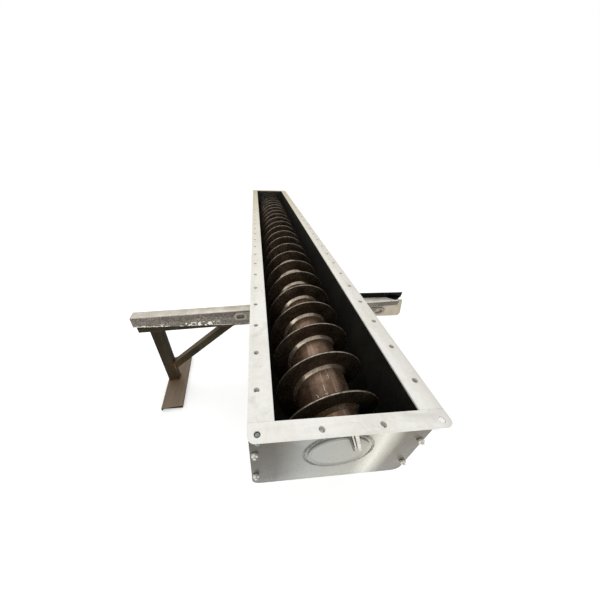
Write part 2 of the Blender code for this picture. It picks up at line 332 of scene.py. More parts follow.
def cad_copy(node: str, name: str, width: float, segments: int = 3) -> Piece:
    """Copy a CAD node, merge its loose triangles and round its edges.

    Args:
        node: The node's name.
        name: The new piece's name.
        width: The width of the rounding.
        segments: The faces across it.

    Returns:
        The piece, in the object's own frame.
    """
    source = FRAME["nodes"][node]
    obj = bpy.data.objects.new(name, source.data.copy())
    bpy.context.scene.collection.objects.link(obj)
    with editing(obj, "VERT"):
        bpy.ops.mesh.select_all(action="SELECT")
        bpy.ops.mesh.remove_doubles(threshold=0.00002)
        bpy.ops.mesh.dissolve_limited(angle_limit=math.radians(0.5))
        bpy.ops.mesh.normals_make_consistent(inside=False)
    return rounded_off(obj, width, segments)


def arc(middle: Point, radius: float, start: float, end: float, steps: int) -> list[Point]:
    """Points along an arc, with its angles in degrees."""
    turns = (math.radians(start + (end - start) * k / steps) for k in range(steps + 1))
    return [(middle[0] + radius * math.cos(a), middle[1] + radius * math.sin(a)) for a in turns]


def steps_between(start: float, end: float, count: int) -> list[float]:
    """Evenly spaced stations with both ends."""
    return [start + (end - start) * k / count for k in range(count + 1)]


def weld_bead(name: str, path: Sequence[Sequence[float]], radius: float, seed: int,
              closed: bool = False, step: float = 0.004, uneven: float = 1.0) -> Piece:
    """Lay a rippled bead of weld along a path.

    Args:
        name: The new piece's name.
        path: The points that it passes through.
        radius: Its usual radius.
        seed: Starts the random run that makes it uneven.
        closed: Whether it runs back to its start.
        step: The length of a ripple.
        uneven: How uneven it is, from 0 for a smooth rod to 1.

    Returns:
        The bead.
    """
    chance = random.Random(seed)
    corners = [Vector(p) for p in path] + ([Vector(path[0])] if closed else [])
    points: list[Vector] = []
    for here, there in zip(corners, corners[1:]):
        count = max(1, round((there - here).length / step))
        points += [here.lerp(there, k / count) for k in range(count)]
    if not closed:
        points.append(corners[-1])
    curve = bpy.data.curves.new(name, "CURVE")
    curve.dimensions = "3D"
    curve.bevel_depth = radius
    curve.bevel_resolution = 2
    curve.use_fill_caps = not closed
    spline = curve.splines.new("POLY")
    spline.points.add(len(points) - 1)
    spline.use_cyclic_u = closed
    for at, point in zip(spline.points, points):
        drift = Vector(chance.uniform(-1, 1) for _ in range(3)) * radius * 0.14 * uneven
        at.co = (*(point + drift), 1)
        at.radius = 1 + uneven * chance.uniform(-0.28, 0.2)
    obj = bpy.data.objects.new(name, curve)
    bpy.context.scene.collection.objects.link(obj)
    only(obj)
    bpy.ops.object.convert(target="MESH")
    bpy.ops.object.shade_smooth()
    return bpy.context.object


def roughened(obj: Piece, strength: float, size: float) -> Piece:
    """Move a piece's surface in and out a little by a cloud pattern.

    Args:
        obj: The piece.
        strength: The whole height of the unevenness.
        size: The size of its lumps.

    Returns:
        The same piece.
    """
    clouds = bpy.data.textures.new(obj.name + "_lumps", "CLOUDS")
    clouds.noise_scale = size
    apply_modifier(obj, "DISPLACE", texture=clouds, strength=strength, mid_level=0.5,
                   texture_coords="LOCAL")
    return obj


# Finishes


def linear(colour: str) -> tuple[float, float, float, float]:
    """Turn an sRGB hex colour to linear values.

    Args:
        colour: The colour, with its hash sign.

    Returns:
        Red, green, blue and an alpha of 1.
    """
    parts = [int(colour[k:k + 2], 16) / 255 for k in (1, 3, 5)]
    r, g, b = (p / 12.92 if p <= 0.04045 else ((p + 0.055) / 1.055) ** 2.4 for p in parts)
    return r, g, b, 1.0


def add_node(tree: bpy.types.NodeTree, kind: str, settings: dict[str, Any] | None = None,
             inputs: dict[Any, Any] | None = None) -> bpy.types.Node:
    """Add a shader node with its settings and what feeds it.

    Args:
        tree: The node tree.
        kind: The node's type.
        settings: Its properties. For a colour ramp, stops lists places and hex colours.
        inputs: Values, or sockets to link from, by the name or number of the input.

    Returns:
        The node.
    """
    node = tree.nodes.new("ShaderNode" + kind)
    for key, value in (settings or {}).items():
        if key == "stops":
            elements = node.color_ramp.elements
            while len(elements) < len(value):
                elements.new(0.5)
            for element, (place, colour) in zip(elements, value):
                element.position, element.color = place, linear(colour)
        else:
            setattr(node, key, value)
    for key, value in (inputs or {}).items():
        if isinstance(value, bpy.types.NodeSocket):
            tree.links.new(value, node.inputs[key])
        else:
            node.inputs[key].default_value = value
    return node


@dataclass
class Layers:
    """What a finish feeds to its shader, as it is built up.

    Attributes:
        tree: The node tree.
        place: Object coordinates in metres.
        colour: The colour.
        rough: The roughness.
        height: The height that the bump is made from.
    """

    tree: bpy.types.NodeTree
    place: bpy.types.NodeSocket
    colour: bpy.types.NodeSocket
    rough: bpy.types.NodeSocket
    height: bpy.types.NodeSocket

    def noise(self, size_mm: float, detail: float = 3, stretch: Sequence[float] = (1, 1, 1),
              distortion: float = 0.0) -> bpy.types.NodeSocket:
        """A noise pattern.

        Args:
            size_mm: The size of its patches in millimetres.
            detail: How much finer noise is laid over it.
            stretch: How much smaller it is along each axis.
            distortion: How far it is pulled about.

        Returns:
            The pattern, from 0 to 1.
        """
        turned = add_node(self.tree, "Mapping", inputs={"Vector": self.place, "Scale": stretch})
        made = add_node(self.tree, "TexNoise", inputs={
            "Vector": turned.outputs[0], "Scale": 1000 / size_mm, "Detail": detail,
            "Roughness": 0.55, "Distortion": distortion})
        return made.outputs["Fac"]

    def band(self, value: bpy.types.NodeSocket, low: float, high: float, to_low: float = 0.0,
             to_high: float = 1.0) -> bpy.types.NodeSocket:
        """Stretch the part of a value between low and high over the range of to_low to to_high.

        Args:
            value: The value.
            low: Where the part starts.
            high: Where it ends.
            to_low: What it starts at afterwards.
            to_high: What it ends at afterwards.

        Returns:
            The stretched value, which stays between the two.
        """
        made = add_node(self.tree, "MapRange", {"clamp": True}, {
            "Value": value, "From Min": low, "From Max": high, "To Min": to_low,
            "To Max": to_high})
        return made.outputs[0]

    def sum(self, kind: str, first: Any, second: Any) -> bpy.types.NodeSocket:
        """One step of arithmetic on two values, by its Blender name."""
        return add_node(self.tree, "Math", {"operation": kind}, {0: first, 1: second}).outputs[0]

    def product(self, first: Any, *others: Any) -> Any:
        """The product of values, in their order.

        Args:
            first: The first value.
            *others: The others, values or sockets.

        Returns:
            The product, or the first value where it stands alone.
        """
        for other in others:
            first = self.sum("MULTIPLY", first, other)
        return first

    def tint(self, colour: str | bpy.types.NodeSocket, *amounts: Any) -> None:
        """Lay a hex colour or a pattern over the colour, by the product of the amounts.

        Args:
            colour: The hex colour, or a colour socket.
            *amounts: Values from 0 to 1.
        """
        over = linear(colour) if isinstance(colour, str) else colour
        mixed = add_node(self.tree, "Mix", {"data_type": "RGBA", "blend_type": "MIX"}, {
            "Factor": self.product(*amounts), 6: self.colour, 7: over})
        self.colour = mixed.outputs[2]

    def polish(self, rough: float, *amounts: Any) -> None:
        """Bring the roughness towards a value, by the product of the amounts."""
        mixed = add_node(self.tree, "Mix", {"data_type": "FLOAT"}, {
            0: self.product(*amounts), 2: self.rough, 3: rough})
        self.rough = mixed.outputs[0]

    def paint_far_end_shade(self, share: float, colour: str = "#0b0805") -> None:
        """Paint shade over the screw's far length, where it lies in the dark."""
        self.tint(colour, self.band(self.part("Y"), 0.70, 1.05, 0.0, share))

    def part(self, which: str) -> bpy.types.NodeSocket:
        """One coordinate of the place, X, Y or Z."""
        return add_node(self.tree, "SeparateXYZ", inputs={0: self.place}).outputs[which]

    def facing(self, which: str) -> bpy.types.NodeSocket:
        """How far the surface faces along X, Y or Z, from -1 to 1."""
        normal = add_node(self.tree, "NewGeometry").outputs["Normal"]
        return add_node(self.tree, "SeparateXYZ", inputs={0: normal}).outputs[which]

    def vector(self, kind: str, *values: Any) -> bpy.types.Node:
        """One step of vector arithmetic, by its Blender name."""
        return add_node(self.tree, "VectorMath", {"operation": kind}, dict(enumerate(values)))

    def far_from_axis(self) -> bpy.types.NodeSocket:
        """The distance from the screw's axis in metres.

        Returns:
            The distance.
        """
        moved = self.vector("SUBTRACT", self.place, AXIS_PLACE.translation)
        flat = self.vector("MULTIPLY", moved.outputs[0], (1, 0, 1))
        return self.vector("LENGTH", flat.outputs[0]).outputs["Value"]

    def near(self, points: Sequence[Sequence[float]], reach: float) -> bpy.types.NodeSocket:
        """How near the surface is to the nearest of some points.

        Args:
            points: The points, in metres.
            reach: The distance at which it has fallen to nothing.

        Returns:
            From 0 out of reach to 1 at a point.
        """
        best: Any = 0.0
        for point in points:
            away = self.vector("DISTANCE", self.place, point).outputs["Value"]
            best = self.sum("MAXIMUM", self.band(away, reach, 0.1 * reach), best)
        return best


@dataclass(frozen=True)
class Finish:
    """A procedural material named for the real one.

    Attributes:
        name: The material's name.
        colours: Its hex colours, from dark to light.
        patch_mm: The size of its colour patches.
        grain_mm: The size of its fine grain.
        metallic: How far it shades as bare metal.
        rough: Its least and greatest roughness.
        relief_mm: The height of its bump.
        stretch: How much smaller its pattern is along each axis.
        contrast: How much of the noise's range spreads over the colours.
        gloss: The strength of its reflection where it isn't metal.
    """

    name: str
    colours: tuple[str, ...]
    patch_mm: float
    grain_mm: float
    metallic: float
    rough: tuple[float, float]
    relief_mm: float
    stretch: tuple[float, float, float] = (1, 1, 1)
    contrast: float = 0.16
    gloss: float = 0.5

    def detail(self, layers: Layers) -> None:
        """Lay what is special to this finish over the plain one.

        Args:
            layers: What the finish feeds to its shader.
        """

    def material(self) -> bpy.types.Material:
        """Build the material, once for the scene.

        Returns:
            The material.
        """
        made = bpy.data.materials.get(self.name)
        if made:
            return made
        made = bpy.data.materials.new(self.name)
        made.use_nodes = True
        tree = made.node_tree
        shader = tree.nodes["Principled BSDF"]
        place = add_node(tree, "TexCoord").outputs["Object"]
        layers = Layers(tree, place, place, place, place)
        patches = layers.noise(self.patch_mm, 5, self.stretch)
        grain = layers.noise(self.grain_mm, 3, self.stretch)
        both = layers.sum("ADD", layers.product(patches, 0.65), layers.product(grain, 0.35))
        spread = layers.band(both, 0.5 - self.contrast, 0.5 + self.contrast)
        last = max(1, len(self.colours) - 1)
        stops = [(k / last, colour) for k, colour in enumerate(self.colours)]
        layers.colour = add_node(tree, "ValToRGB", {"stops": stops}, {0: spread}).outputs[0]
        layers.rough = layers.band(grain, 0.3, 0.7, *self.rough)
        layers.height = both
        self.detail(layers)
        bump = add_node(tree, "Bump", inputs={"Strength": 1.0, "Distance": self.relief_mm / 1000,
                                              "Height": layers.height})
        tree.links.new(layers.colour, shader.inputs["Base Color"])
        tree.links.new(layers.rough, shader.inputs["Roughness"])
        tree.links.new(bump.outputs[0], shader.inputs["Normal"])
        shader.inputs["Metallic"].default_value = self.metallic
        shader.inputs["Specular IOR Level"].default_value = self.gloss
        return made


class FlangeSheet(Finish):
    """Galvanised sheet gone chalky white: smudges, fine scratches, and painted shade, warmer and
    darker, towards the far end.
    """

    def detail(self, layers: Layers) -> None:
        """Add the painted shade towards the far end, the greyer right flange, grey smudges and hair
        scratches.

        Args:
            layers: What the finish feeds to its shader.
        """
        # Painted shade: warmer and darker towards the far end.
        layers.tint("#bfb28c", layers.band(layers.part("Y"), -1.1, 1.2, 0.0, 0.85))
        layers.tint("#c3c1b8", layers.band(layers.part("X"), 0.20, 0.24, 0.0, 0.55))
        layers.tint("#b2ada0", layers.band(layers.noise(75, 6, (1, 1, 1), 1.2), 0.58, 0.72), 0.36)
        line = layers.noise(60, 2, (1.0, 0.45, 1), 2.5)
        off = layers.sum("ABSOLUTE", layers.sum("SUBTRACT", line, 0.5), 0.0)
        worn = layers.band(layers.noise(120, 1), 0.52, 0.6)
        layers.tint("#8b8579", layers.band(off, 0.0035, 0.0), worn, 0.55)


class SpangledZinc(Finish):
    """Hot-dip galvanised plate: crystals of zinc some 9 mm across over a clouded grey."""

    def detail(self, layers: Layers) -> None:
        """Add the crystals to the colour and the roughness.

        Args:
            layers: What the finish feeds to its shader.
        """
        cells = add_node(layers.tree, "TexVoronoi", {"feature": "F1"}, {
            "Vector": layers.place, "Scale": 1000 / 9})
        tone = add_node(layers.tree, "SeparateColor", inputs={0: cells.outputs["Color"]}).outputs[0]
        layers.tint("#c9cbc6", tone, 0.30)
        layers.polish(0.24, tone, 0.5)


class EndPlateZinc(Finish):
    """Smooth galvanised plate with painted reflection across it: pale round the bearing, a bright band
    of painted sheen to its right and painted shade, brownish, towards its edges.
    """

    def detail(self, layers: Layers) -> None:
        """Lay the painted bands of sheen and shade by the place across the plate.

        Args:
            layers: What the finish feeds to its shader.
        """
        half = Trough.outer
        place = layers.sum("SUBTRACT", layers.part("X"), TROUGH_PLACE.translation.x)
        across = layers.band(place, -half, half)
        drift = layers.band(layers.noise(50, 3, (1, 1, 0.3)), 0.3, 0.7, -0.012, 0.012)
        # Painted reflection and shade across the plate: dark brownish edges, pale middle, bright band
        # right of the bearing.
        stops = [(0.0, "#403b31"), (0.14, "#524d43"), (0.34, "#a4a6a3"), (0.64, "#aeac9f"),
                 (0.74, "#f4f2e6"), (0.85, "#6d6657"), (1.0, "#544c3c")]
        painted_sheen_bands = add_node(layers.tree, "ValToRGB", {"stops": stops}, {
            0: layers.sum("ADD", across, drift)})
        layers.tint(painted_sheen_bands.outputs[0], 0.92)


class TroughInside(Finish):
    """Dark oily sheet inside the trough, with faint runs down its sides."""

    def detail(self, layers: Layers) -> None:
        """Add the paler runs.

        Args:
            layers: What the finish feeds to its shader.
        """
        runs = layers.noise(60, 4, (0.5, 1.0, 0.12), 0.6)
        layers.tint("#2b2c26", layers.band(runs, 0.52, 0.72), 0.40)


class WornRim(Finish):
    """Steel rubbed bright along the rim of the flights, with brown left in its nicks."""

    def detail(self, layers: Layers) -> None:
        """Add the nicks and the painted shade over the far length.

        Args:
            layers: What the finish feeds to its shader.
        """
        layers.tint("#4a4036", layers.band(layers.noise(16, 4), 0.50, 0.64), 0.6)
        layers.paint_far_end_shade(0.75, "#1a140e")


class MillSteel(Finish):
    """Brown mill scale on the flights, with painted shade beyond the lit length."""

    def detail(self, layers: Layers) -> None:
        """Add rubbed patches, the heat tint by the pipe and the painted shade over the far length.

        Args:
            layers: What the finish feeds to its shader.
        """
        out = layers.far_from_axis()
        rubbed = layers.noise(34, 5, (1, 1, 1), 0.8)
        layers.tint("#54473a", layers.band(rubbed, 0.54, 0.70), 0.55)
        clouds = layers.band(layers.noise(45, 3), 0.42, 0.62)
        layers.tint("#6d4f2c", layers.band(out, 0.092, 0.076), clouds, 0.55)
        layers.paint_far_end_shade(0.80)


class PipeSteel(Finish):
    """Drawn steel pipe with brown scale: pale marks along it and red rust between them."""

    def detail(self, layers: Layers) -> None:
        """Add rust, marks along the pipe and the painted shade over the far length.

        Args:
            layers: What the finish feeds to its shader.
        """
        rust = layers.noise(38, 5, (1, 1, 1), 0.8)
        layers.tint("#6f4530", layers.band(rust, 0.50, 0.66), 0.45)
        marks = layers.noise(9, 2, (1, 0.06, 1))
        layers.tint("#a08b79", layers.band(marks, 0.57, 0.70), 0.50)
        layers.paint_far_end_shade(0.80)


class WeldMetal(Finish):
    """Bright weld metal with brown in its hollows and a gold heat tint near the front."""

    def detail(self, layers: Layers) -> None:
        """Add brown hollows, the gold tint of the first turns and the painted shade over the far
        length.

        Args:
            layers: What the finish feeds to its shader.
        """
        layers.tint("#5d4630", layers.band(layers.noise(26, 4), 0.54, 0.70), 0.45)
        first_turns = layers.band(layers.part("Y"), -1.24, -1.13, 1.0, 0.0)
        clouds = layers.band(layers.noise(30, 3), 0.44, 0.60)
        layers.tint("#8a6c40", first_turns, clouds, 0.85)
        layers.paint_far_end_shade(0.85)


class DippedBeam(Finish):
    """Thick hot-dip zinc: a fine slanting speckle of ash grey on its front, painted shade on its
    upright faces that leaves the top bright, and painted glints along its edges.
    """

    def detail(self, layers: Layers) -> None:
        """Paint shade on the upright faces, speckle them and paint glints in small spots along both
        edges.

        Args:
            layers: What the finish feeds to its shader.
        """
        turned = add_node(layers.tree, "Mapping", {}, {
            "Vector": layers.place, "Rotation": (0, math.radians(38), 0)})
        speckle = add_node(layers.tree, "TexNoise", {}, {
            "Vector": turned.outputs[0], "Scale": 1000 / 6, "Detail": 1.0}).outputs[0]
        upright = layers.band(layers.facing("Z"), 0.85, 0.25)
        # Painted shade: the upright faces are darker than the top.
        layers.tint("#6e665c", upright, 0.92)
        layers.tint("#2e2922", upright, 0.55, layers.band(speckle, 0.48, 0.60))
        layers.tint("#c6beb1", upright, 0.35, layers.band(speckle, 0.46, 0.36))
        clouds = layers.band(layers.noise(70, 3, (0.4, 1, 2)), 0.42, 0.60)
        layers.tint("#413a32", upright, 0.50, clouds)
        # Painted glints: near-white spots along the lower edge, at the left only.
        glint_flecks = layers.band(layers.noise(16, 2), 0.52, 0.58)
        at_left = layers.band(layers.part("X"), -0.36, -0.30, 1.0, 0.0)
        foot = layers.band(layers.part("Z"), BEAM_LOW + 0.0060, BEAM_LOW + 0.0040)
        layers.tint("#f6f2e8", foot, layers.product(glint_flecks, at_left))
        # Painted highlight: a toothed line of near white just under the fold, at the right.
        teeth = layers.band(layers.noise(13, 2, (1, 0.1, 0.1)), 0.40, 0.50)
        head = layers.band(layers.part("Z"), BEAM_HIGH - 0.0085, BEAM_HIGH - 0.0050)
        at_right = layers.band(layers.part("X"), 0.15, 0.25)
        layers.tint("#fbf8f0", head, at_right, upright, teeth)
        layers.height = layers.sum("ADD", layers.height, layers.product(speckle, 0.6))


class HotRolled(Finish):
    """Hot-rolled steel: painted shade on its sides, painted light on its tops, orange rust round its
    welds.
    """

    def detail(self, layers: Layers) -> None:
        """Add rust at the welds and pale scuffs, then painted shade on the sides and painted light on
        the tops.

        Args:
            layers: What the finish feeds to its shader.
        """
        welds = Trestle().weld_places()
        broken = layers.band(layers.noise(22, 5, (1, 1, 1), 0.7), 0.40, 0.58)
        layers.tint("#5d3f24", layers.near(welds, 0.105), broken, 0.6)
        close = layers.band(layers.noise(8, 4), 0.45, 0.6)
        layers.tint("#8a5a30", layers.near(welds, 0.055), close, 0.4)
        layers.tint("#8d7a68", layers.band(layers.noise(26, 3, (1, 0.12, 0.12)), 0.60, 0.72), 0.3)
        # Painted shade on faces that point sideways or down, painted light on faces that point up.
        layers.tint("#15110b", layers.band(layers.facing("Z"), 0.5, 0.1), 0.40)
        layers.tint("#77695a", layers.band(layers.facing("Z"), 0.45, 0.75), 0.55)


class FootChannel(HotRolled):
    """The feet's channels, with painted light on top and painted shade down their sides."""

    def detail(self, layers: Layers) -> None:
        """Paint more shade on the sides.

        Args:
            layers: What the finish feeds to its shader.
        """
        super().detail(layers)
        # Painted shade: the sides darker still.
        layers.tint("#0f0b07", layers.band(layers.facing("Z"), 0.5, 0.1), 0.85)


# White and chalky: the sheet's zinc has weathered.
FLANGE_SHEET = FlangeSheet("galvanised_flange_sheet", ("#e0ddd4", "#ebe9e3", "#f3f2ee"),
                           150, 9, 0.0, (0.42, 0.60), 0.2)
# Clouded grey with faint crystals, as plate is after dipping.
ZINC_PLATE = SpangledZinc("galvanised_end_plate", ("#7d7d78", "#a3a39d", "#bcbcb5"),
                          60, 6, 0.55, (0.30, 0.48), 0.3)
# The same plate with painted bands of sheen and shade across it.
END_ZINC = EndPlateZinc("sheen_banded_end_plate", ("#8a8a85", "#a3a39d", "#b8b8b1"),
                        60, 6, 0.35, (0.26, 0.40), 0.2)
# A duller grey, for the outside of the sheet.
ZINC_SHELL = SpangledZinc("galvanised_trough_shell", ("#6c6d6a", "#8e8f8b", "#a9aaa5"),
                          90, 8, 0.55, (0.34, 0.52), 0.3)
# Nearly black, so that the screw stands out against it.
SHELL_INSIDE = TroughInside("oiled_trough_inside", ("#11110e", "#1a1915", "#27261f"),
                            120, 10, 0.0, (0.42, 0.60), 0.4)
# Dark warm brown with a dull gleam.
MILL_STEEL = MillSteel("mill_scale_flight", ("#2b2219", "#44382c", "#655748"),
                       46, 7, 0.55, (0.20, 0.36), 0.12)
# The pale line that draws each turn's edge.
WORN_RIM = WornRim("rubbed_flight_rim", ("#7a7164", "#9d9486", "#beb6a7"),
                   18, 3, 0.70, (0.22, 0.36), 0.1)
# Lighter brown than the flights, with a highlight along its top.
PIPE_STEEL = PipeSteel("drawn_pipe_steel", ("#4d3c2e", "#6b5443", "#86705a"),
                       60, 12, 0.60, (0.22, 0.34), 0.10)
# The brightest steel of the screw, at the foot of the flights.
WELD_METAL = WeldMetal("bright_weld_metal", ("#85776a", "#b3a695", "#d9cfbf"),
                       26, 6, 0.72, (0.20, 0.30), 0.12)
# Clean grey metal with fine marks round it from the lathe.
SHAFT_STEEL = Finish("turned_shaft_steel", ("#6f706e", "#8b8c8a", "#a2a3a0"),
                     30, 2, 0.95, (0.22, 0.34), 0.05, (1, 8, 1))
# Warm pale grey, speckled where it faces sideways, with painted shade on its upright faces and painted
# glints along its edges.
BEAM_ZINC = DippedBeam("dipped_beam_zinc", ("#b9b1a2", "#cfc8bb", "#e2ddd2"),
                       45, 6, 0.25, (0.30, 0.50), 0.5)
# A middle grey brown, duller than the beam.
LUG_ZINC = Finish("dipped_lug_zinc", ("#6c6659", "#7e776a", "#938c7e"),
                  30, 6, 0.3, (0.30, 0.45), 0.3)
# Nearly white and shiny, for thick runs of zinc and rubbed edges, and as painted highlight on the rib
# and the beam's fold.
BRIGHT_ZINC = Finish("bright_zinc_edge", ("#b5b0a4", "#dcd8cd", "#f3f1ea"),
                     12, 3, 0.5, (0.18, 0.34), 0.3)
# A soft pale ring round the lugs' slots.
LIP_ZINC = Finish("dull_lip_zinc", ("#8b8579", "#a39d90", "#bfb9ad"),
                  14, 3, 0.3, (0.3, 0.45), 0.2)
# Cool dark metal with one small bright spot.
STUD_STEEL = Finish("oiled_stud_steel", ("#3d4443", "#59605f", "#747b79"),
                    12, 3, 0.8, (0.15, 0.22), 0.1)
# Painted highlight: a bolt end as white as the flange round it, so that the right corner hole is lost
# in the glare.
GLARE_WHITE_ZINC = Finish("glare_white_bolt_zinc", ("#e9e8e2", "#f6f5f1", "#fdfdfb"),
                    12, 3, 0.2, (0.2, 0.3), 0.1)
# Coarse and spotted, for thin beads of weld under zinc.
GREY_ZINC = Finish("rough_grey_zinc", ("#5e5c56", "#8a8881", "#b4b2aa"),
                   7, 3, 0.45, (0.34, 0.52), 0.8)
# A flat beige that reflects nothing.
SPLICE_STEEL = Finish("beige_primed_plate", ("#a59984", "#bdb19c", "#cfc5b2"),
                      50, 5, 0.0, (0.45, 0.62), 0.2)
# Almost pure black with a weak gleam on its edges.
BLACK_PAINT = Finish("black_gloss_enamel", ("#050505", "#0a0909", "#171513"),
                     60, 5, 0.0, (0.18, 0.34), 0.2, gloss=0.08)
# Dark olive brown that drinks the light.
BROWN_STEEL = HotRolled("hot_rolled_section", ("#2b2416", "#3c3424", "#4e4431"),
                        60, 5, 0.0, (0.60, 0.80), 0.3, (1, 1, 0.3), gloss=0.12)
# Tan, with streaks that run its length; painted shade darkens its sides.
FOOT_STEEL = FootChannel("hot_rolled_foot_channel", ("#64533f", "#816d55", "#9a856a"),
                         40, 4, 0.2, (0.45, 0.65), 0.3, (1, 0.12, 1))
# Painted shade, for the rib's hollow and its left leg.
RIB_SHADE_ZINC = Finish("rib_shade_zinc", ("#1f1d19", "#34312b", "#4a473f"),
                   20, 4, 0.3, (0.3, 0.45), 0.2)
# Orange brown crust on the stands' welds.
RUSTY_BEAD = Finish("rusted_weld_bead", ("#3a281a", "#6b4526", "#9a6534"),
                    8, 3, 0.3, (0.45, 0.7), 0.6)
# Plain mid grey, seen through the flange's holes.
THREAD_STEEL = Finish("grey_nut_steel", ("#a19c92", "#b3aea4", "#c3beb4"),
                      14, 2, 0.2, (0.4, 0.55), 0.2)
# Black oxide, hardly seen under the corners.
DARK_BOLT = Finish("blackened_stud", ("#17140f", "#2a251d", "#48402f"),
                   6, 2, 0.5, (0.35, 0.5), 0.3)


def dress(obj: Piece, finish: Finish, body: Body = Body.FRAME,
          node: str | None = None) -> Piece:
    """Give a piece its finish, its body and the node that it stands for.

    Args:
        obj: The piece, already in place.
        finish: Its finish.
        body: The body that it rides on.
        node: The CAD node that it replaces.

    Returns:
        The same piece.
    """
    obj.data.materials.clear()
    obj.data.materials.append(finish.material())
    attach(obj, body.value)
    if node:
        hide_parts(node)
    LOG.info("%s: %d faces, %s", obj.name, len(obj.data.polygons), finish.name)
    return obj


def dress_node(node: str, finish: Finish) -> None:
    """Give a CAD node that stays in view its finish.

    Args:
        node: The node's name.
        finish: Its finish.
    """
    mesh = FRAME["nodes"][node].data
    for number in range(max(1, len(mesh.materials))):
        if mesh.materials:
            mesh.materials[number] = finish.material()
        else:
            mesh.materials.append(finish.material())
    LOG.info("node %s: %s", node, finish.name)


# Sub-assemblies


@dataclass
class Trough:
    """The U trough with its flanges and ends."""

    half: float = 0.139
    outer: float = 0.188
    sheet: float = 0.003
    flange: float = 0.005
    cross: float = 0.0333
    corner: float = 0.014
    hole: float = 0.006
    hole_line: float = 0.1704
    hole_first: float = 0.0977
    hole_pitch: float = 0.100
    hole_count: int = 26
    cross_hole: float = 0.0130
    plate_face: float = 0.0233
    plate_back: float = 0.0293
    cap_face: float = 0.0193
    cap_radius: float = 0.0725
    cap_inset: float = 0.006
    cap_depth: float = 0.0037
    bore: float = 0.02545
    stud_out: float = 0.178
    rib_top: Point = (-0.0125, 0.0093)
    rib_foot: Point = (0.022, 0.040)
    rib_low: float = -0.098
    rib_front: float = 0.0090
    gap: float = 0.0003

    def shell(self) -> None:
        """The U of sheet, dark inside and galvanised outside."""
        top, outside = -self.flange - self.gap, self.half + self.sheet
        outline = [(-outside, top), *arc((0, -AXIS_DROP), outside, 180, 360, 48), (outside, top),
                   (self.half, top), *arc((0, -AXIS_DROP), self.half, 360, 180, 48), (-self.half, top)]
        start = self.plate_back + self.gap
        obj = swept("trough_shell_sheet", outline, Axis.Y, steps_between(start, LENGTH - start, 6))
        carried(shaded(obj), TROUGH_PLACE)
        dress(obj, ZINC_SHELL, node="trough_shell")
        obj.data.materials.append(SHELL_INSIDE.material())
        centre = AXIS_PLACE.translation
        for face in obj.data.polygons:
            across = abs(face.center.x - centre.x)
            down = min(face.center.z - centre.z, 0.0)
            face.material_index = int(math.hypot(across, down) < self.half + self.sheet / 2)

    def holes(self, count: int, step: Vector, first: Sequence[float]) -> Piece:
        """A row of cutters for bolt holes.

        Args:
            count: How many there are.
            step: From one to the next.
            first: The foot of the first one.

        Returns:
            The cutters as one object.
        """
        return repeated(round_bar("hole_row", self.hole, first, 0.03, Axis.Z, 28), count, step)

    def captive_nuts(self, name: str, count: int, step: Vector, first: Sequence[float]) -> None:
        """Nuts held under a row of bolt holes, so that the holes look grey with a small bore.

        Args:
            name: The piece's name.
            count: How many there are.
            step: From one to the next.
            first: The middle of the first one at the flange's underside.
        """
        top = -self.flange - 0.0001
        nut = round_bar("nut", 0.0098, (first[0], first[1], top - 0.008), 0.008, Axis.Z, 6)
        thread = round_bar("thread", 0.0042, (first[0], first[1], top - 0.02), 0.04, Axis.Z, 20)
        cut_out(nut, thread)
        rounded_off(nut, 0.0006, 1)
        repeated(nut, count, step).name = name
        dress(carried(nut, TROUGH_PLACE), THREAD_STEEL)

    def side_flange(self, name: str, side: int) -> None:
        """One side flange with its row of holes.

        Args:
            name: Its side's name.
            side: -1 for left and 1 for right.
        """
        low, high = sorted((side * self.half, side * self.outer))
        start = self.cross + self.gap
        outline = [(low, -self.flange), (high, -self.flange), (high, 0), (low, 0)]
        obj = swept("side_flange_" + name, outline, Axis.Y, [start, LENGTH - start])
        first = (side * self.hole_line, self.hole_first, -0.015)
        step = Vector((0, self.hole_pitch, 0))
        cut_out(obj, self.holes(self.hole_count, step, first))
        rounded_off(obj, 0.0007)
        dress(carried(obj, TROUGH_PLACE), FLANGE_SHEET, node="flange_" + name)
        self.captive_nuts("captive_nuts_" + name, self.hole_count, step, first)

    def cross_flange(self, end: End) -> None:
        """The flange across one end.

        Args:
            end: Which end.
        """
        r = self.corner
        outline = [*arc((self.outer - r, r), r, -90, 0, 8), (self.outer, self.cross),
                   (-self.outer, self.cross), *arc((-self.outer + r, r), r, 180, 270, 8)]
        obj = swept("cross_flange_" + end.value, outline, Axis.Z, [-self.flange, 0])
        first = (-self.hole_line, self.cross_hole, -0.015)
        step = 2 * self.hole_line / 3
        cut_out(obj, self.holes(4, Vector((step, 0, 0)), first))
        rounded_off(obj, 0.0007)
        dress(self.placed(obj, end), FLANGE_SHEET, node="flange_" + end.value)
        along = self.cross_hole if end is End.FRONT else LENGTH - self.cross_hole
        self.captive_nuts("captive_nuts_" + end.value, 2, Vector((step, 0, 0)),
                          (-self.hole_line + step, along, 0))

    def turned(self, end: End) -> Matrix:
        """The place of what is drawn at the near end, for either end.

        Args:
            end: Which end.

        Returns:
            The place, mirrored for the far end.
        """
        if end is End.FRONT:
            return TROUGH_PLACE
        return TROUGH_PLACE @ Matrix.Translation((0, LENGTH, 0)) @ Matrix.Scale(-1, 4, (0, 1, 0))

    def placed(self, obj: Piece, end: End) -> Piece:
        """Carry a piece drawn at the near end to its own end, and turn its faces out again.

        Args:
            obj: The piece.
            end: Which end.

        Returns:
            The same piece.
        """
        carried(obj, self.turned(end))
        if end is End.REAR:
            with editing(obj):
                bpy.ops.mesh.select_all(action="SELECT")
                bpy.ops.mesh.normals_make_consistent(inside=False)
        return obj

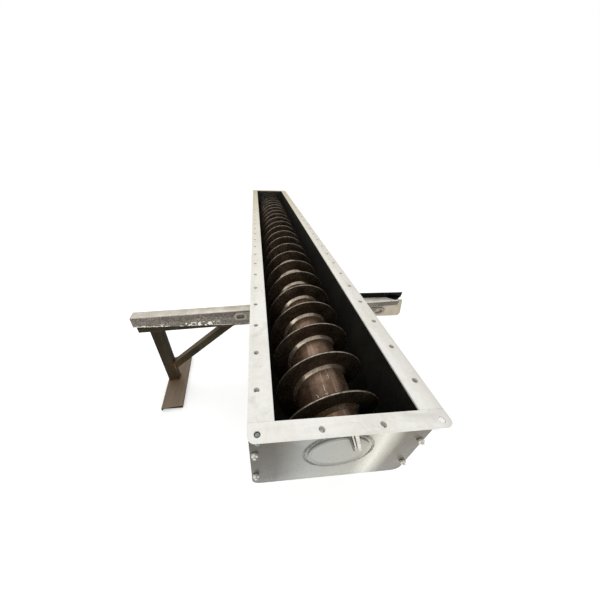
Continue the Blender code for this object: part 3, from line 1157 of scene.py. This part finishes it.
    def cap(self) -> None:
        """The round cap over the near bearing, with two turned lines near its edge."""
        obj = round_bar("bearing_cap_turned", self.cap_radius - self.cap_inset,
                        (0, self.cap_face, -AXIS_DROP), self.cap_depth, sides=96)
        with editing(obj) as shape:
            pick_faces(obj, shape, lambda at, normal: normal.y < -0.9)
            for width, push in ((0.0014, 0.0), (0.0008, -0.0012), (0.0022, 0.0),
                                (0.0008, 0.0012), (0.0016, 0.0), (0.0008, -0.0012),
                                (0.0040, 0.0)):
                bpy.ops.mesh.inset(thickness=width, depth=push)
        rounded_off(obj, 0.0004)
        dress(carried(obj, TROUGH_PLACE), END_ZINC, node="bearing_cap")

    def ring(self) -> None:
        """The open bearing ring at the far end."""
        face = LENGTH - self.cap_face
        obj = round_bar("bearing_ring_turned", self.cap_radius,
                        (0, face - self.cap_depth, -AXIS_DROP), self.cap_depth, sides=96)
        cut_out(obj, round_bar("bore", self.bore, (0, face - 0.02, -AXIS_DROP), 0.04, sides=64))
        rounded_off(obj, 0.0006)
        dress(carried(obj, TROUGH_PLACE), ZINC_PLATE, node="bearing_flange")

    def rib_at(self, share: float, z: float) -> float:
        """The place across of a share of the rib's width at a height.

        Args:
            share: The share, from 0 at its left edge to 1.
            z: The height.

        Returns:
            The place across.
        """
        top = -self.flange - self.gap
        down = (top - z) / (top - self.rib_low)
        left = self.rib_top[0] + (self.rib_foot[0] - self.rib_top[0]) * down
        right = self.rib_top[1] + (self.rib_foot[1] - self.rib_top[1]) * down
        return left + (right - left) * share

    def rib_strip(self, name: str, shares: Point, depths: Point) -> Piece:
        """One strip of the slanting rib.

        Args:
            name: The new piece's name.
            shares: Where it starts and ends across the rib, from 0 to 1.
            depths: Where its front and back are.

        Returns:
            The strip, drawn at the near end.
        """
        low, top = self.rib_low, -self.flange - self.gap
        outline = [(self.rib_at(shares[0], low), low), (self.rib_at(shares[1], low), low),
                   (self.rib_at(shares[1], top), top), (self.rib_at(shares[0], top), top)]
        return swept(name, outline, Axis.Y, list(depths))

    def rib(self, end: End) -> None:
        """The slanting rib over the bearing: a leg and a hollow in painted shade, and a leg, a rod of
        weld and a top weld in bright zinc as painted highlight.

        Args:
            end: Which end.
        """
        back = self.rib_front + 0.010
        # Painted shade: the web and the left leg are dark zinc.
        web = self.rib_strip("rib_web_" + end.value, (0.0, 1.0), (back - 0.0030, back))
        dress(self.placed(rounded_off(web, 0.0005), end), RIB_SHADE_ZINC,
              node="end_rib_" + end.value)
        leg = self.rib_strip("rib_left_leg_" + end.value, (0.0, 0.20),
                             (self.rib_front + 0.001, back - 0.0032))
        dress(self.placed(rounded_off(leg, 0.0008), end), RIB_SHADE_ZINC)
        # Painted highlight: the right leg and the welds are bright zinc.
        leg = self.rib_strip("rib_right_leg_" + end.value, (0.60, 1.0),
                             (self.rib_front, back - 0.0032))
        dress(self.placed(rounded_off(leg, 0.0022, 4), end), BRIGHT_ZINC)
        heights = (-0.030, -0.045, -0.060, -0.075, -0.088)
        path = [(self.rib_at(0.40, z), back - 0.0052, z) for z in heights]
        rod = weld_bead("rib_weld_" + end.value, path, 0.0024, 3, step=0.01, uneven=0.35)
        dress(self.placed(rod, end), BRIGHT_ZINC)
        path = [(self.rib_at(share, -0.008), 0.0075, -0.0083) for share in (0.45, 0.95)]
        blob = weld_bead("rib_top_weld_" + end.value, path, 0.0028, 5)
        dress(self.placed(blob, end), BRIGHT_ZINC)

    def seam(self, end: End) -> None:
        """The thin double line of weld that runs round the bearing on the plate.

        Args:
            end: Which end.
        """
        for number, radius in ((1, self.cap_radius + 0.0008), (2, self.cap_radius + 0.0044)):
            path = [(radius * math.cos(a), self.plate_face - 0.0004, -AXIS_DROP + radius * math.sin(a))
                    for a in (math.tau * k / 48 for k in range(48))]
            name = "bearing_seam_%d_%s" % (number, end.value)
            obj = weld_bead(name, path, 0.0011, number, closed=True)
            dress(self.placed(obj, end), GREY_ZINC)

    def studs(self, end: End) -> None:
        """The nuts and stud ends at the sides of the end plate, and those in the corner holes.

        Args:
            end: Which end.
        """
        nut = round_bar("end_nut", 0.0076, (0, self.plate_face - 0.0062, 0), 0.0062, sides=6)
        rounded_off(nut, 0.0012, 3)
        tip = round_bar("end_tip", 0.0036, (0, self.plate_face - 0.0105, 0), 0.008, sides=20)
        rounded_off(tip, 0.0010, 3)
        stud = joined([nut, tip], "end_stud")
        for side, x in (("left", -self.stud_out), ("right", self.stud_out)):
            for row, z in (("upper", -0.104), ("lower", -0.214)):
                name = "end_stud_%s_%s_%s" % (row, side, end.value)
                twin = copy_of(stud, name, Matrix.Translation((x, 0, z)))
                dress(self.placed(twin, end), BRIGHT_ZINC)
        bpy.data.objects.remove(stud)
        # The right corner bolt is white as a painted highlight, so that its hole is lost in the glare.
        for side, x, radius, top, finish in (
                ("left", -self.hole_line, 0.0056, -0.0034, STUD_STEEL),
                ("right", self.hole_line, 0.0057, -0.0004, GLARE_WHITE_ZINC)):
            where = "%s_%s" % (side, end.value)
            bolt = round_bar("corner_bolt_" + where, radius, (x, self.cross_hole, -0.033),
                             0.033 + top, Axis.Z, 24)
            rounded_off(bolt, 0.0016, 4)
            dress(self.placed(bolt, end), finish)
            nut = round_bar("corner_nut_" + where, 0.0095, (x, self.cross_hole, -0.0150),
                            0.0094, Axis.Z, 6)
            rounded_off(nut, 0.0010)
            dress(self.placed(nut, end), DARK_BOLT)

    def end(self, end: End) -> None:
        """Everything on one end plate.

        Args:
            end: Which end.
        """
        obj = cad_copy("end_plate_" + end.value, "end_plate_sheet_" + end.value, 0.0008, 2)
        dress(obj, END_ZINC, node="end_plate_" + end.value)
        obj.data.materials.append(SHELL_INSIDE.material())
        inward = 1 if end is End.FRONT else -1
        for face in obj.data.polygons:
            face.material_index = int(face.normal.y * inward > 0.5)
        self.rib(end)
        self.seam(end)
        self.studs(end)

    def build(self) -> None:
        """Make the whole trough."""
        self.shell()
        self.side_flange("left", -1)
        self.side_flange("right", 1)
        for end in End:
            self.cross_flange(end)
            self.end(end)
        self.cap()
        self.ring()
        dress_node("bearing_bush", SHAFT_STEEL)


@dataclass
class Screw:
    """The turning screw: pipe, sections of flight and the weld between them."""

    pipe: float = 0.070
    wall: float = 0.006
    flight: float = 0.123
    blade: float = 0.005
    pitch: float = 0.108
    top_at: float = 0.0827
    sections: int = 12
    start: float = 0.0413
    steps: int = 96
    seam: float = math.radians(0.3)
    crease: float = math.radians(40)
    rub: float = 0.0009
    weld_steps: int = 120

    def span(self) -> tuple[float, float]:
        """Where the first section starts and how long a section is."""
        first = self.start + self.blade
        return first, (LENGTH - 2 * first) / self.sections

    def helix(self, name: str, profile: Outline, steps: int) -> Piece:
        """Sweep a closed profile round the axis along the first section.

        Args:
            name: The new piece's name.
            profile: Its corners, each the distance from the axis and the place along it.
            steps: The steps in one turn.

        Returns:
            The closed piece, in the axis frame.
        """
        first, length = self.span()
        turns = length / self.pitch
        bpy.ops.object.select_all(action="DESELECT")
        bpy.ops.mesh.primitive_circle_add(vertices=len(profile), radius=1, fill_type="NOTHING")
        obj = bpy.context.object
        obj.name = name
        angle = math.tau * (first - self.top_at) / self.pitch
        for vertex, (out, along) in zip(obj.data.vertices, profile):
            vertex.co = (out * math.sin(angle), along, out * math.cos(angle))
        apply_modifier(obj, "SCREW", axis="Y", angle=math.tau * turns - self.seam,
                       screw_offset=self.pitch * (turns - self.seam / math.tau),
                       steps=round(turns * steps), render_steps=round(turns * steps))
        with editing(obj, "EDGE"):
            bpy.ops.mesh.select_all(action="SELECT")
            bpy.ops.mesh.fill_holes(sides=0)
            bpy.ops.mesh.select_all(action="SELECT")
            bpy.ops.mesh.normals_make_consistent(inside=False)
        return carried(shaded(obj, self.crease), Matrix.Translation((0, first, 0)))

    def section_place(self, number: int) -> Matrix:
        """The turn and shift from the first section to another one.

        Args:
            number: The section, from 0.

        Returns:
            The matrix.
        """
        along = number * self.span()[1]
        turn = Matrix.Rotation(math.tau * along / self.pitch, 4, "Y")
        return AXIS_PLACE @ Matrix.Translation((0, along, 0)) @ turn

    def in_worn_band(self, place: Vector) -> bool:
        """Whether a place in the axis frame is in the bright band along the rim's near edge.

        Args:
            place: The place.

        Returns:
            True if it is.
        """
        middle = self.top_at + self.pitch * math.atan2(place.x, place.z) / math.tau
        off = (place.y - middle + self.pitch / 2) % self.pitch - self.pitch / 2
        return math.hypot(place.x, place.z) > self.flight - self.rub and off < -0.0001

    def flights(self) -> None:
        """The sections of flight, with rounded rims."""
        half, rim = self.blade / 2 * 1.02, self.flight
        inner = self.pipe + 0.0003
        profile = [(inner, -half), (0.085, -half), (0.105, -half), (rim - 0.0011, -half),
                   (rim - 0.0003, -half + 0.0005), (rim, -half + 0.0012), (rim, -half + 0.0024),
                   (rim - 0.0003, half - 0.0012), (rim - 0.0012, half), (0.105, half),
                   (0.085, half), (inner, half)]
        first = self.helix("flight_first", profile, self.steps)
        rim_faces = [int(self.in_worn_band(face.center)) for face in first.data.polygons]
        for number in range(self.sections):
            name = "flight_blade_%02d" % (number + 1)
            twin = copy_of(first, name, self.section_place(number))
            dress(twin, MILL_STEEL, Body.SCREW, "flight_%02d" % (number + 1))
            twin.data.materials.append(WORN_RIM.material())
            twin.data.polygons.foreach_set("material_index", rim_faces)
        bpy.data.objects.remove(first)

    def fillets(self) -> None:
        """The rippled weld on both sides of each section."""
        half = self.blade / 2
        shape = [(0.0697, 0.0), (0.0697, 0.0085), (0.0706, 0.0082), (0.0719, 0.0066), (0.0738, 0.0043),
                 (0.0762, 0.0023), (0.0778, 0.0009), (0.0777, 0.0)]
        for side, word in ((-1, "near"), (1, "far")):
            profile = [(out, side * (half - 0.0004 + along)) for out, along in shape]
            first = self.helix("fillet_first_" + word, profile, self.weld_steps)
            roughened(first, 0.0003, 0.012)
            for number in range(self.sections):
                name = "flight_weld_%s_%02d" % (word, number + 1)
                twin = copy_of(first, name, self.section_place(number))
                dress(twin, WELD_METAL, Body.SCREW)
            bpy.data.objects.remove(first)

    def tube(self) -> None:
        """The pipe, open at its ends."""
        length = LENGTH - 2 * self.start
        obj = round_bar("screw_pipe_drawn", self.pipe, (0, self.start, 0), length, sides=96)
        cut_out(obj, round_bar("pipe_bore", self.pipe - self.wall, (0, self.start - 0.01, 0),
                               length + 0.02, sides=96))
        rounded_off(obj, 0.0008)
        dress(carried(obj, AXIS_PLACE), PIPE_STEEL, Body.SCREW, "screw_pipe")

    def scratches(self) -> None:
        """Pale scratches near the first turns, by degrees round the pipe and mm along it."""
        trails = [[(1.3, 179), (2.5, 171), (4.6, 164), (4.5, 158), (1.9, 154)],
                  [(4.1, 163), (0.4, 161), (-1.1, 163)], [(-1.8, 155), (3.2, 155)],
                  [(-29.6, 118), (-26.4, 114), (-26.4, 109)],
                  [(-13.0, 113), (-8.6, 116), (-7.9, 111)], [(-11.6, 138), (-11.2, 122)]]
        out = self.pipe + 0.0002
        for number, trail in enumerate(trails):
            path = [(out * math.sin(math.radians(a)), y / 1000, out * math.cos(math.radians(a)))
                    for a, y in trail]
            obj = weld_bead("pipe_scratch_%d" % (number + 1), path, 0.0006, number, step=0.003)
            dress(carried(obj, AXIS_PLACE), BRIGHT_ZINC, Body.SCREW)

    def build(self) -> None:
        """Make the whole screw."""
        self.tube()
        self.flights()
        self.fillets()
        self.scratches()
        for end in End:
            obj = cad_copy("stub_shaft_" + end.value, "stub_shaft_turned_" + end.value, 0.0008, 2)
            dress(obj, SHAFT_STEEL, Body.SCREW, "stub_shaft_" + end.value)


@dataclass
class Trestle:
    """The wide trestle under the near half."""

    beam: Point = (-0.765, 0.6255)
    depth: float = 0.048
    drop: float = 0.0555
    taper: float = 0.0355
    taper_end: float = -0.220
    top: float = -0.2683
    sheet: float = 0.004
    lip_from: float = 0.190
    lip: float = 0.036
    rail_low: float = -0.3723
    post_x: tuple[float, float] = (-0.680, 0.440)
    post_w: float = 0.0575
    post_d: float = 0.040
    post_y: float = 0.0143
    foot_top: float = -0.768
    tooth_from: float = 0.215
    tooth_pitch: float = 0.0088
    tooth_count: int = 46
    place: Matrix = field(default_factory=lambda: TRESTLE_PLACE.copy())
    end: End = End.FRONT

    def weld_places(self) -> list[Vector]:
        """Where the brown steel is welded and has rusted, in the object's frame.

        Returns:
            The places.
        """
        stand, braces = Stand(), (self.post_x[0] + 0.052, self.post_x[1] - 0.052)
        spots = [self.place @ Vector((x, 0.030, self.foot_top)) for x in self.post_x]
        spots += [self.place @ Vector((x, 0.034, -0.655)) for x in braces]
        return spots + [stand.place @ Vector((x, 0.030, self.foot_top)) for x in stand.post_x]

    def low_edge(self, x: float) -> float:
        """The height of the beam's lower edge at a place across.

        Args:
            x: The place across.

        Returns:
            The height.
        """
        deep = self.top - self.drop - self.taper
        if self.end is End.REAR or x > self.taper_end:
            return self.top - self.lip if self.end is End.FRONT and x > self.lip_from else deep
        share = (self.taper_end - x) / (self.taper_end - (self.beam[0] - 0.01))
        return deep + self.taper * share

    def folded_beam(self) -> None:
        """The folded zinc beam with a round bend and an uneven lower edge."""
        t, z, r = self.sheet, self.top, 0.006
        bend = [(r + (r * math.cos(math.radians(a))), z - r + r * math.sin(math.radians(a)))
                for a in (180, 162, 144, 126, 108, 90)]
        outline = [(0, z - 0.09), (t, z - 0.09), (t, z - t), (self.depth, z - t),
                   (self.depth, z), *reversed(bend)]
        ends = [self.beam[0], self.beam[1]]
        cuts = sorted({*steps_between(*ends, 70), self.lip_from, self.lip_from + 0.0005})
        stations = [x for x in cuts if ends[0] <= x <= ends[1]]
        obj = swept("dipped_beam_" + self.end.value, outline, Axis.X, stations)
        chance = random.Random(11)
        waves = {round(x, 5): chance.uniform(0, 0.0010) for x in stations}
        for vertex in obj.data.vertices:
            if vertex.co.z < z - 0.05:
                vertex.co.z = self.low_edge(vertex.co.x) + waves.get(round(vertex.co.x, 5), 0.0)
        rounded_off(obj, 0.0008)
        dress(carried(obj, self.place), BEAM_ZINC, node="cross_beam_" + self.end.value)

    def drips(self) -> None:
        """Bright runs of zinc along the beam's lower edge."""
        chance = random.Random(7)
        runs = [(-0.760, -0.640), (-0.620, -0.600), (-0.500, -0.470), (-0.395, -0.300),
                (-0.282, -0.262)]
        for number, (low, high) in enumerate(runs):
            path = [(x, 0.0008 + chance.uniform(-0.0004, 0.0006),
                     self.low_edge(x) + 0.0030 + chance.uniform(-0.001, 0.002))
                    for x in steps_between(low, high, max(3, round((high - low) / 0.006)))]
            obj = weld_bead("zinc_run_%d" % (number + 1), path, 0.0021, 20 + number, step=0.003)
            dress(carried(obj, self.place), BRIGHT_ZINC)

    def teeth(self) -> None:
        """The row of small notched teeth along the fold at the beam's right part, in bright zinc as a
        painted highlight.
        """
        made = []
        for number in range(self.tooth_count):
            x = self.tooth_from + number * self.tooth_pitch
            tooth = round_bar("tooth", 0.0026, (x, 0.0030, self.top - 0.0022), 0.0056, Axis.X, 10)
            made.append(rounded_off(tooth, 0.0007))
        obj = joined(made, "beam_fold_teeth")
        dress(carried(obj, self.place), BRIGHT_ZINC)

    def section(self, node: str, width: float, finish: Finish) -> None:
        """A brown steel section that follows its CAD node with rolled corners."""
        obj = cad_copy(node, node + "_section", width, 4)
        dress(obj, finish, node=node)

    def lugs(self) -> None:
        """The two slotted lugs with a raised lip round each slot."""
        slot, height = 0.036, 0.020
        for name, x, z, face in (("left", -0.290 + slot, -0.299, -0.0003),
                                 ("right", 0.554 - slot, -0.338, 0.004)):
            obj = cad_copy("lug_" + name, "slotted_lug_" + name, 0.0012, 3)
            dress(obj, LUG_ZINC, node="lug_" + name)
            bpy.ops.object.select_all(action="DESELECT")
            bpy.ops.mesh.primitive_torus_add(
                major_radius=height / 2 + 0.0085, minor_radius=0.0042, major_segments=56,
                minor_segments=12, rotation=(math.pi / 2, 0, 0))
            ring = bpy.context.object
            bpy.ops.object.transform_apply(location=True, rotation=True, scale=True)
            for vertex in ring.data.vertices:
                vertex.co.x += math.copysign((slot - height) / 2, vertex.co.x)
            only(ring)
            bpy.ops.object.shade_smooth()
            ring.name = "lug_lip_" + name
            carried(ring, self.place @ Matrix.Translation((x, face - 0.0060, z)))
            dress(ring, LIP_ZINC)

    def welds(self) -> None:
        """Beads round the posts' feet."""
        half, y0, y1 = self.post_w / 2, self.post_y, self.post_y + self.post_d
        for side, x in zip(("left", "right"), self.post_x):
            z = self.foot_top + 0.0016
            path = [(x - half, y0, z), (x + half, y0, z), (x + half, y1, z), (x - half, y1, z)]
            obj = weld_bead("post_weld_%s_%s" % (side, self.end.value), path, 0.0036, 31, closed=True)
            dress(carried(obj, self.place), RUSTY_BEAD)

    def brace_welds(self) -> None:
        """Beads where the braces meet the posts and the rail."""
        run, angle, width = 0.360, math.radians(39.75), 0.040
        high = self.rail_low - 0.0003
        low = high - run * math.tan(angle)
        rise, back = width / math.cos(angle), width / math.sin(angle)
        for side, x, inward in (("left", self.post_x[0], 1), ("right", self.post_x[1], -1)):
            at = x + inward * (self.post_w / 2 + 0.0015)
            y = self.post_y + 0.002
            path = [(at, y, z) for z in (low + 0.002, low + rise - 0.001)]
            upright = weld_bead("brace_weld_post_" + side, path, 0.0028, 41)
            dress(carried(upright, self.place), RUSTY_BEAD)
            path = [(at + inward * far, y, high - 0.001) for far in (run - back - 0.002, run - 0.004)]
            level = weld_bead("brace_weld_rail_" + side, path, 0.0025, 43)
            dress(carried(level, self.place), RUSTY_BEAD)

    def build(self) -> None:
        """Make the whole trestle."""
        self.folded_beam()
        self.drips()
        self.teeth()
        self.section("rail_front", 0.002, BROWN_STEEL)
        for side in ("left", "right"):
            self.section("post_front_" + side, 0.004, BROWN_STEEL)
            self.section("brace_front_" + side, 0.003, BROWN_STEEL)
            self.section("foot_front_" + side, 0.0025, FOOT_STEEL)
        plate = cad_copy("splice_plate", "splice_plate_sheet", 0.001, 2)
        dress(plate, SPLICE_STEEL, node="splice_plate")
        self.lugs()
        self.welds()
        self.brace_welds()
        obj = cad_copy("saddle_front", "saddle_plate_front", 0.0008, 2)
        dress(obj, ZINC_PLATE, node="saddle_front")


@dataclass
class Stand(Trestle):
    """The narrow stand under the far half, of the same sections."""

    beam: Point = (-0.185, 0.185)
    post_x: tuple[float, float] = (-0.140, 0.140)
    place: Matrix = field(default_factory=lambda: STAND_PLACE.copy())
    end: End = End.REAR

    def build(self) -> None:
        """Make the whole stand."""
        self.folded_beam()
        self.section("rail_rear", 0.002, BROWN_STEEL)
        for side in ("left", "right"):
            self.section("post_rear_" + side, 0.004, BROWN_STEEL)
            self.section("foot_rear_" + side, 0.0025, FOOT_STEEL)
        self.welds()
        obj = cad_copy("saddle_rear", "saddle_plate_rear", 0.0008, 2)
        dress(obj, ZINC_PLATE, node="saddle_rear")


@dataclass
class LooseAngle:
    """The black angle that lies on the beam, with its clip."""

    rounding: float = 0.0009

    def build(self) -> None:
        """Make both pieces."""
        for node in ("back_angle", "angle_clip"):
            obj = cad_copy(node, node + "_enamelled", self.rounding, 3)
            dress(obj, BLACK_PAINT, node=node)


@dataclass
class Studio:
    """Pale floor, soft light and the camera of the photograph."""

    camera_place: tuple[float, float, float] = (-0.11242, -1.51519, 1.19027)
    camera_turn: tuple[float, float, float] = (55.033, -1.759, -5.106)
    lens: float = 13.2009
    shift: Point = (0.036385, 0.004762)
    floor_half: float = 60.0
    floor_glow: float = 0.30

    def floor(self) -> None:
        """A wide pale floor that gives off a little light, so that it is nearly white."""
        bpy.ops.object.select_all(action="DESELECT")
        bpy.ops.mesh.primitive_plane_add(size=2 * self.floor_half, location=(0, 0, -0.0004))
        obj = bpy.context.object
        obj.name = "studio_floor"
        bpy.ops.object.transform_apply(location=True, rotation=True, scale=True)
        made = Finish("pale_studio_floor", ("#f4f4f2", "#f7f7f6", "#fafaf9"),
                      400, 20, 0.0, (0.85, 0.95), 0.02).material()
        shader = made.node_tree.nodes["Principled BSDF"]
        shader.inputs["Emission Color"].default_value = (1.0, 1.0, 1.0, 1.0)
        shader.inputs["Emission Strength"].default_value = self.floor_glow
        obj.data.materials.append(made)

    def sky(self) -> None:
        """Soft light from all round, brightest overhead."""
        world = bpy.data.worlds.new("studio")
        bpy.context.scene.world = world
        world.use_nodes = True
        tree = world.node_tree
        tree.nodes.clear()
        way = add_node(tree, "TexCoord").outputs["Generated"]
        height = add_node(tree, "SeparateXYZ", inputs={0: way}).outputs["Z"]
        stops = [(0.0, "#a9a8a6"), (0.35, "#c9c8c6"), (1.0, "#ffffff")]
        ramp = add_node(tree, "ValToRGB", {"stops": stops}, {0: height})
        light = add_node(tree, "Background", inputs={"Color": ramp.outputs[0], "Strength": 1.0})
        plain = add_node(tree, "Background", inputs={"Color": (1, 1, 1, 1), "Strength": 1.0})
        seen = add_node(tree, "LightPath").outputs["Is Camera Ray"]
        mixed = add_node(tree, "MixShader", inputs={
            0: seen, 1: light.outputs[0], 2: plain.outputs[0]})
        add_node(tree, "OutputWorld", inputs={0: mixed.outputs[0]})

    def lamp(self, name: str, place: Sequence[float], target: Sequence[float], size: float,
             watts: float) -> None:
        """A soft square lamp.

        Args:
            name: Its name.
            place: Where it hangs.
            target: What it points at.
            size: Its side.
            watts: Its power.
        """
        light = bpy.data.lights.new(name, "AREA")
        light.size, light.energy = size, watts
        obj = bpy.data.objects.new(name, light)
        bpy.context.scene.collection.objects.link(obj)
        obj.location = place
        obj.rotation_euler = (Vector(target) - Vector(place)).to_track_quat("-Z", "Y").to_euler()

    def camera(self) -> None:
        """The camera, at the photograph's place and angle."""
        data = bpy.data.cameras.new("photo_camera")
        data.lens, data.sensor_width = self.lens, 36
        data.shift_x, data.shift_y = self.shift
        data.clip_start = 0.02
        obj = bpy.data.objects.new("photo_camera", data)
        bpy.context.scene.collection.objects.link(obj)
        obj.location = self.camera_place
        obj.rotation_euler = [math.radians(a) for a in self.camera_turn]
        bpy.context.scene.camera = obj

    def build(self) -> None:
        """Set the whole studio."""
        self.floor()
        self.sky()
        self.lamp("overhead_lamp", (-0.4, 0.8, 3.4), (0.0, -0.2, 0.7), 2.2, 26)
        self.lamp("front_lamp", (-1.6, -3.0, 2.6), (0.0, -0.6, 0.5), 1.6, 12)
        self.camera()
        bpy.context.scene.view_settings.view_transform = "Standard"


def main() -> None:
    """Build the classes in order."""
    logging.basicConfig(level=logging.INFO, format="%(name)s: %(message)s")
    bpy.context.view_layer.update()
    Studio().build()
    Trough().build()
    Screw().build()
    Trestle().build()
    Stand().build()
    LooseAngle().build()


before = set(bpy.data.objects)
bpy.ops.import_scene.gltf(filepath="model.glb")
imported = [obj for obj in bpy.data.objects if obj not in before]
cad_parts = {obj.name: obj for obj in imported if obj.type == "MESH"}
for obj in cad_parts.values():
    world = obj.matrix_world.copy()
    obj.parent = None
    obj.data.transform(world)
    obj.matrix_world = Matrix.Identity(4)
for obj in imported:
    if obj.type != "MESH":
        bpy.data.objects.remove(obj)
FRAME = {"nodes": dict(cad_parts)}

if __name__ == "__main__":
    main()
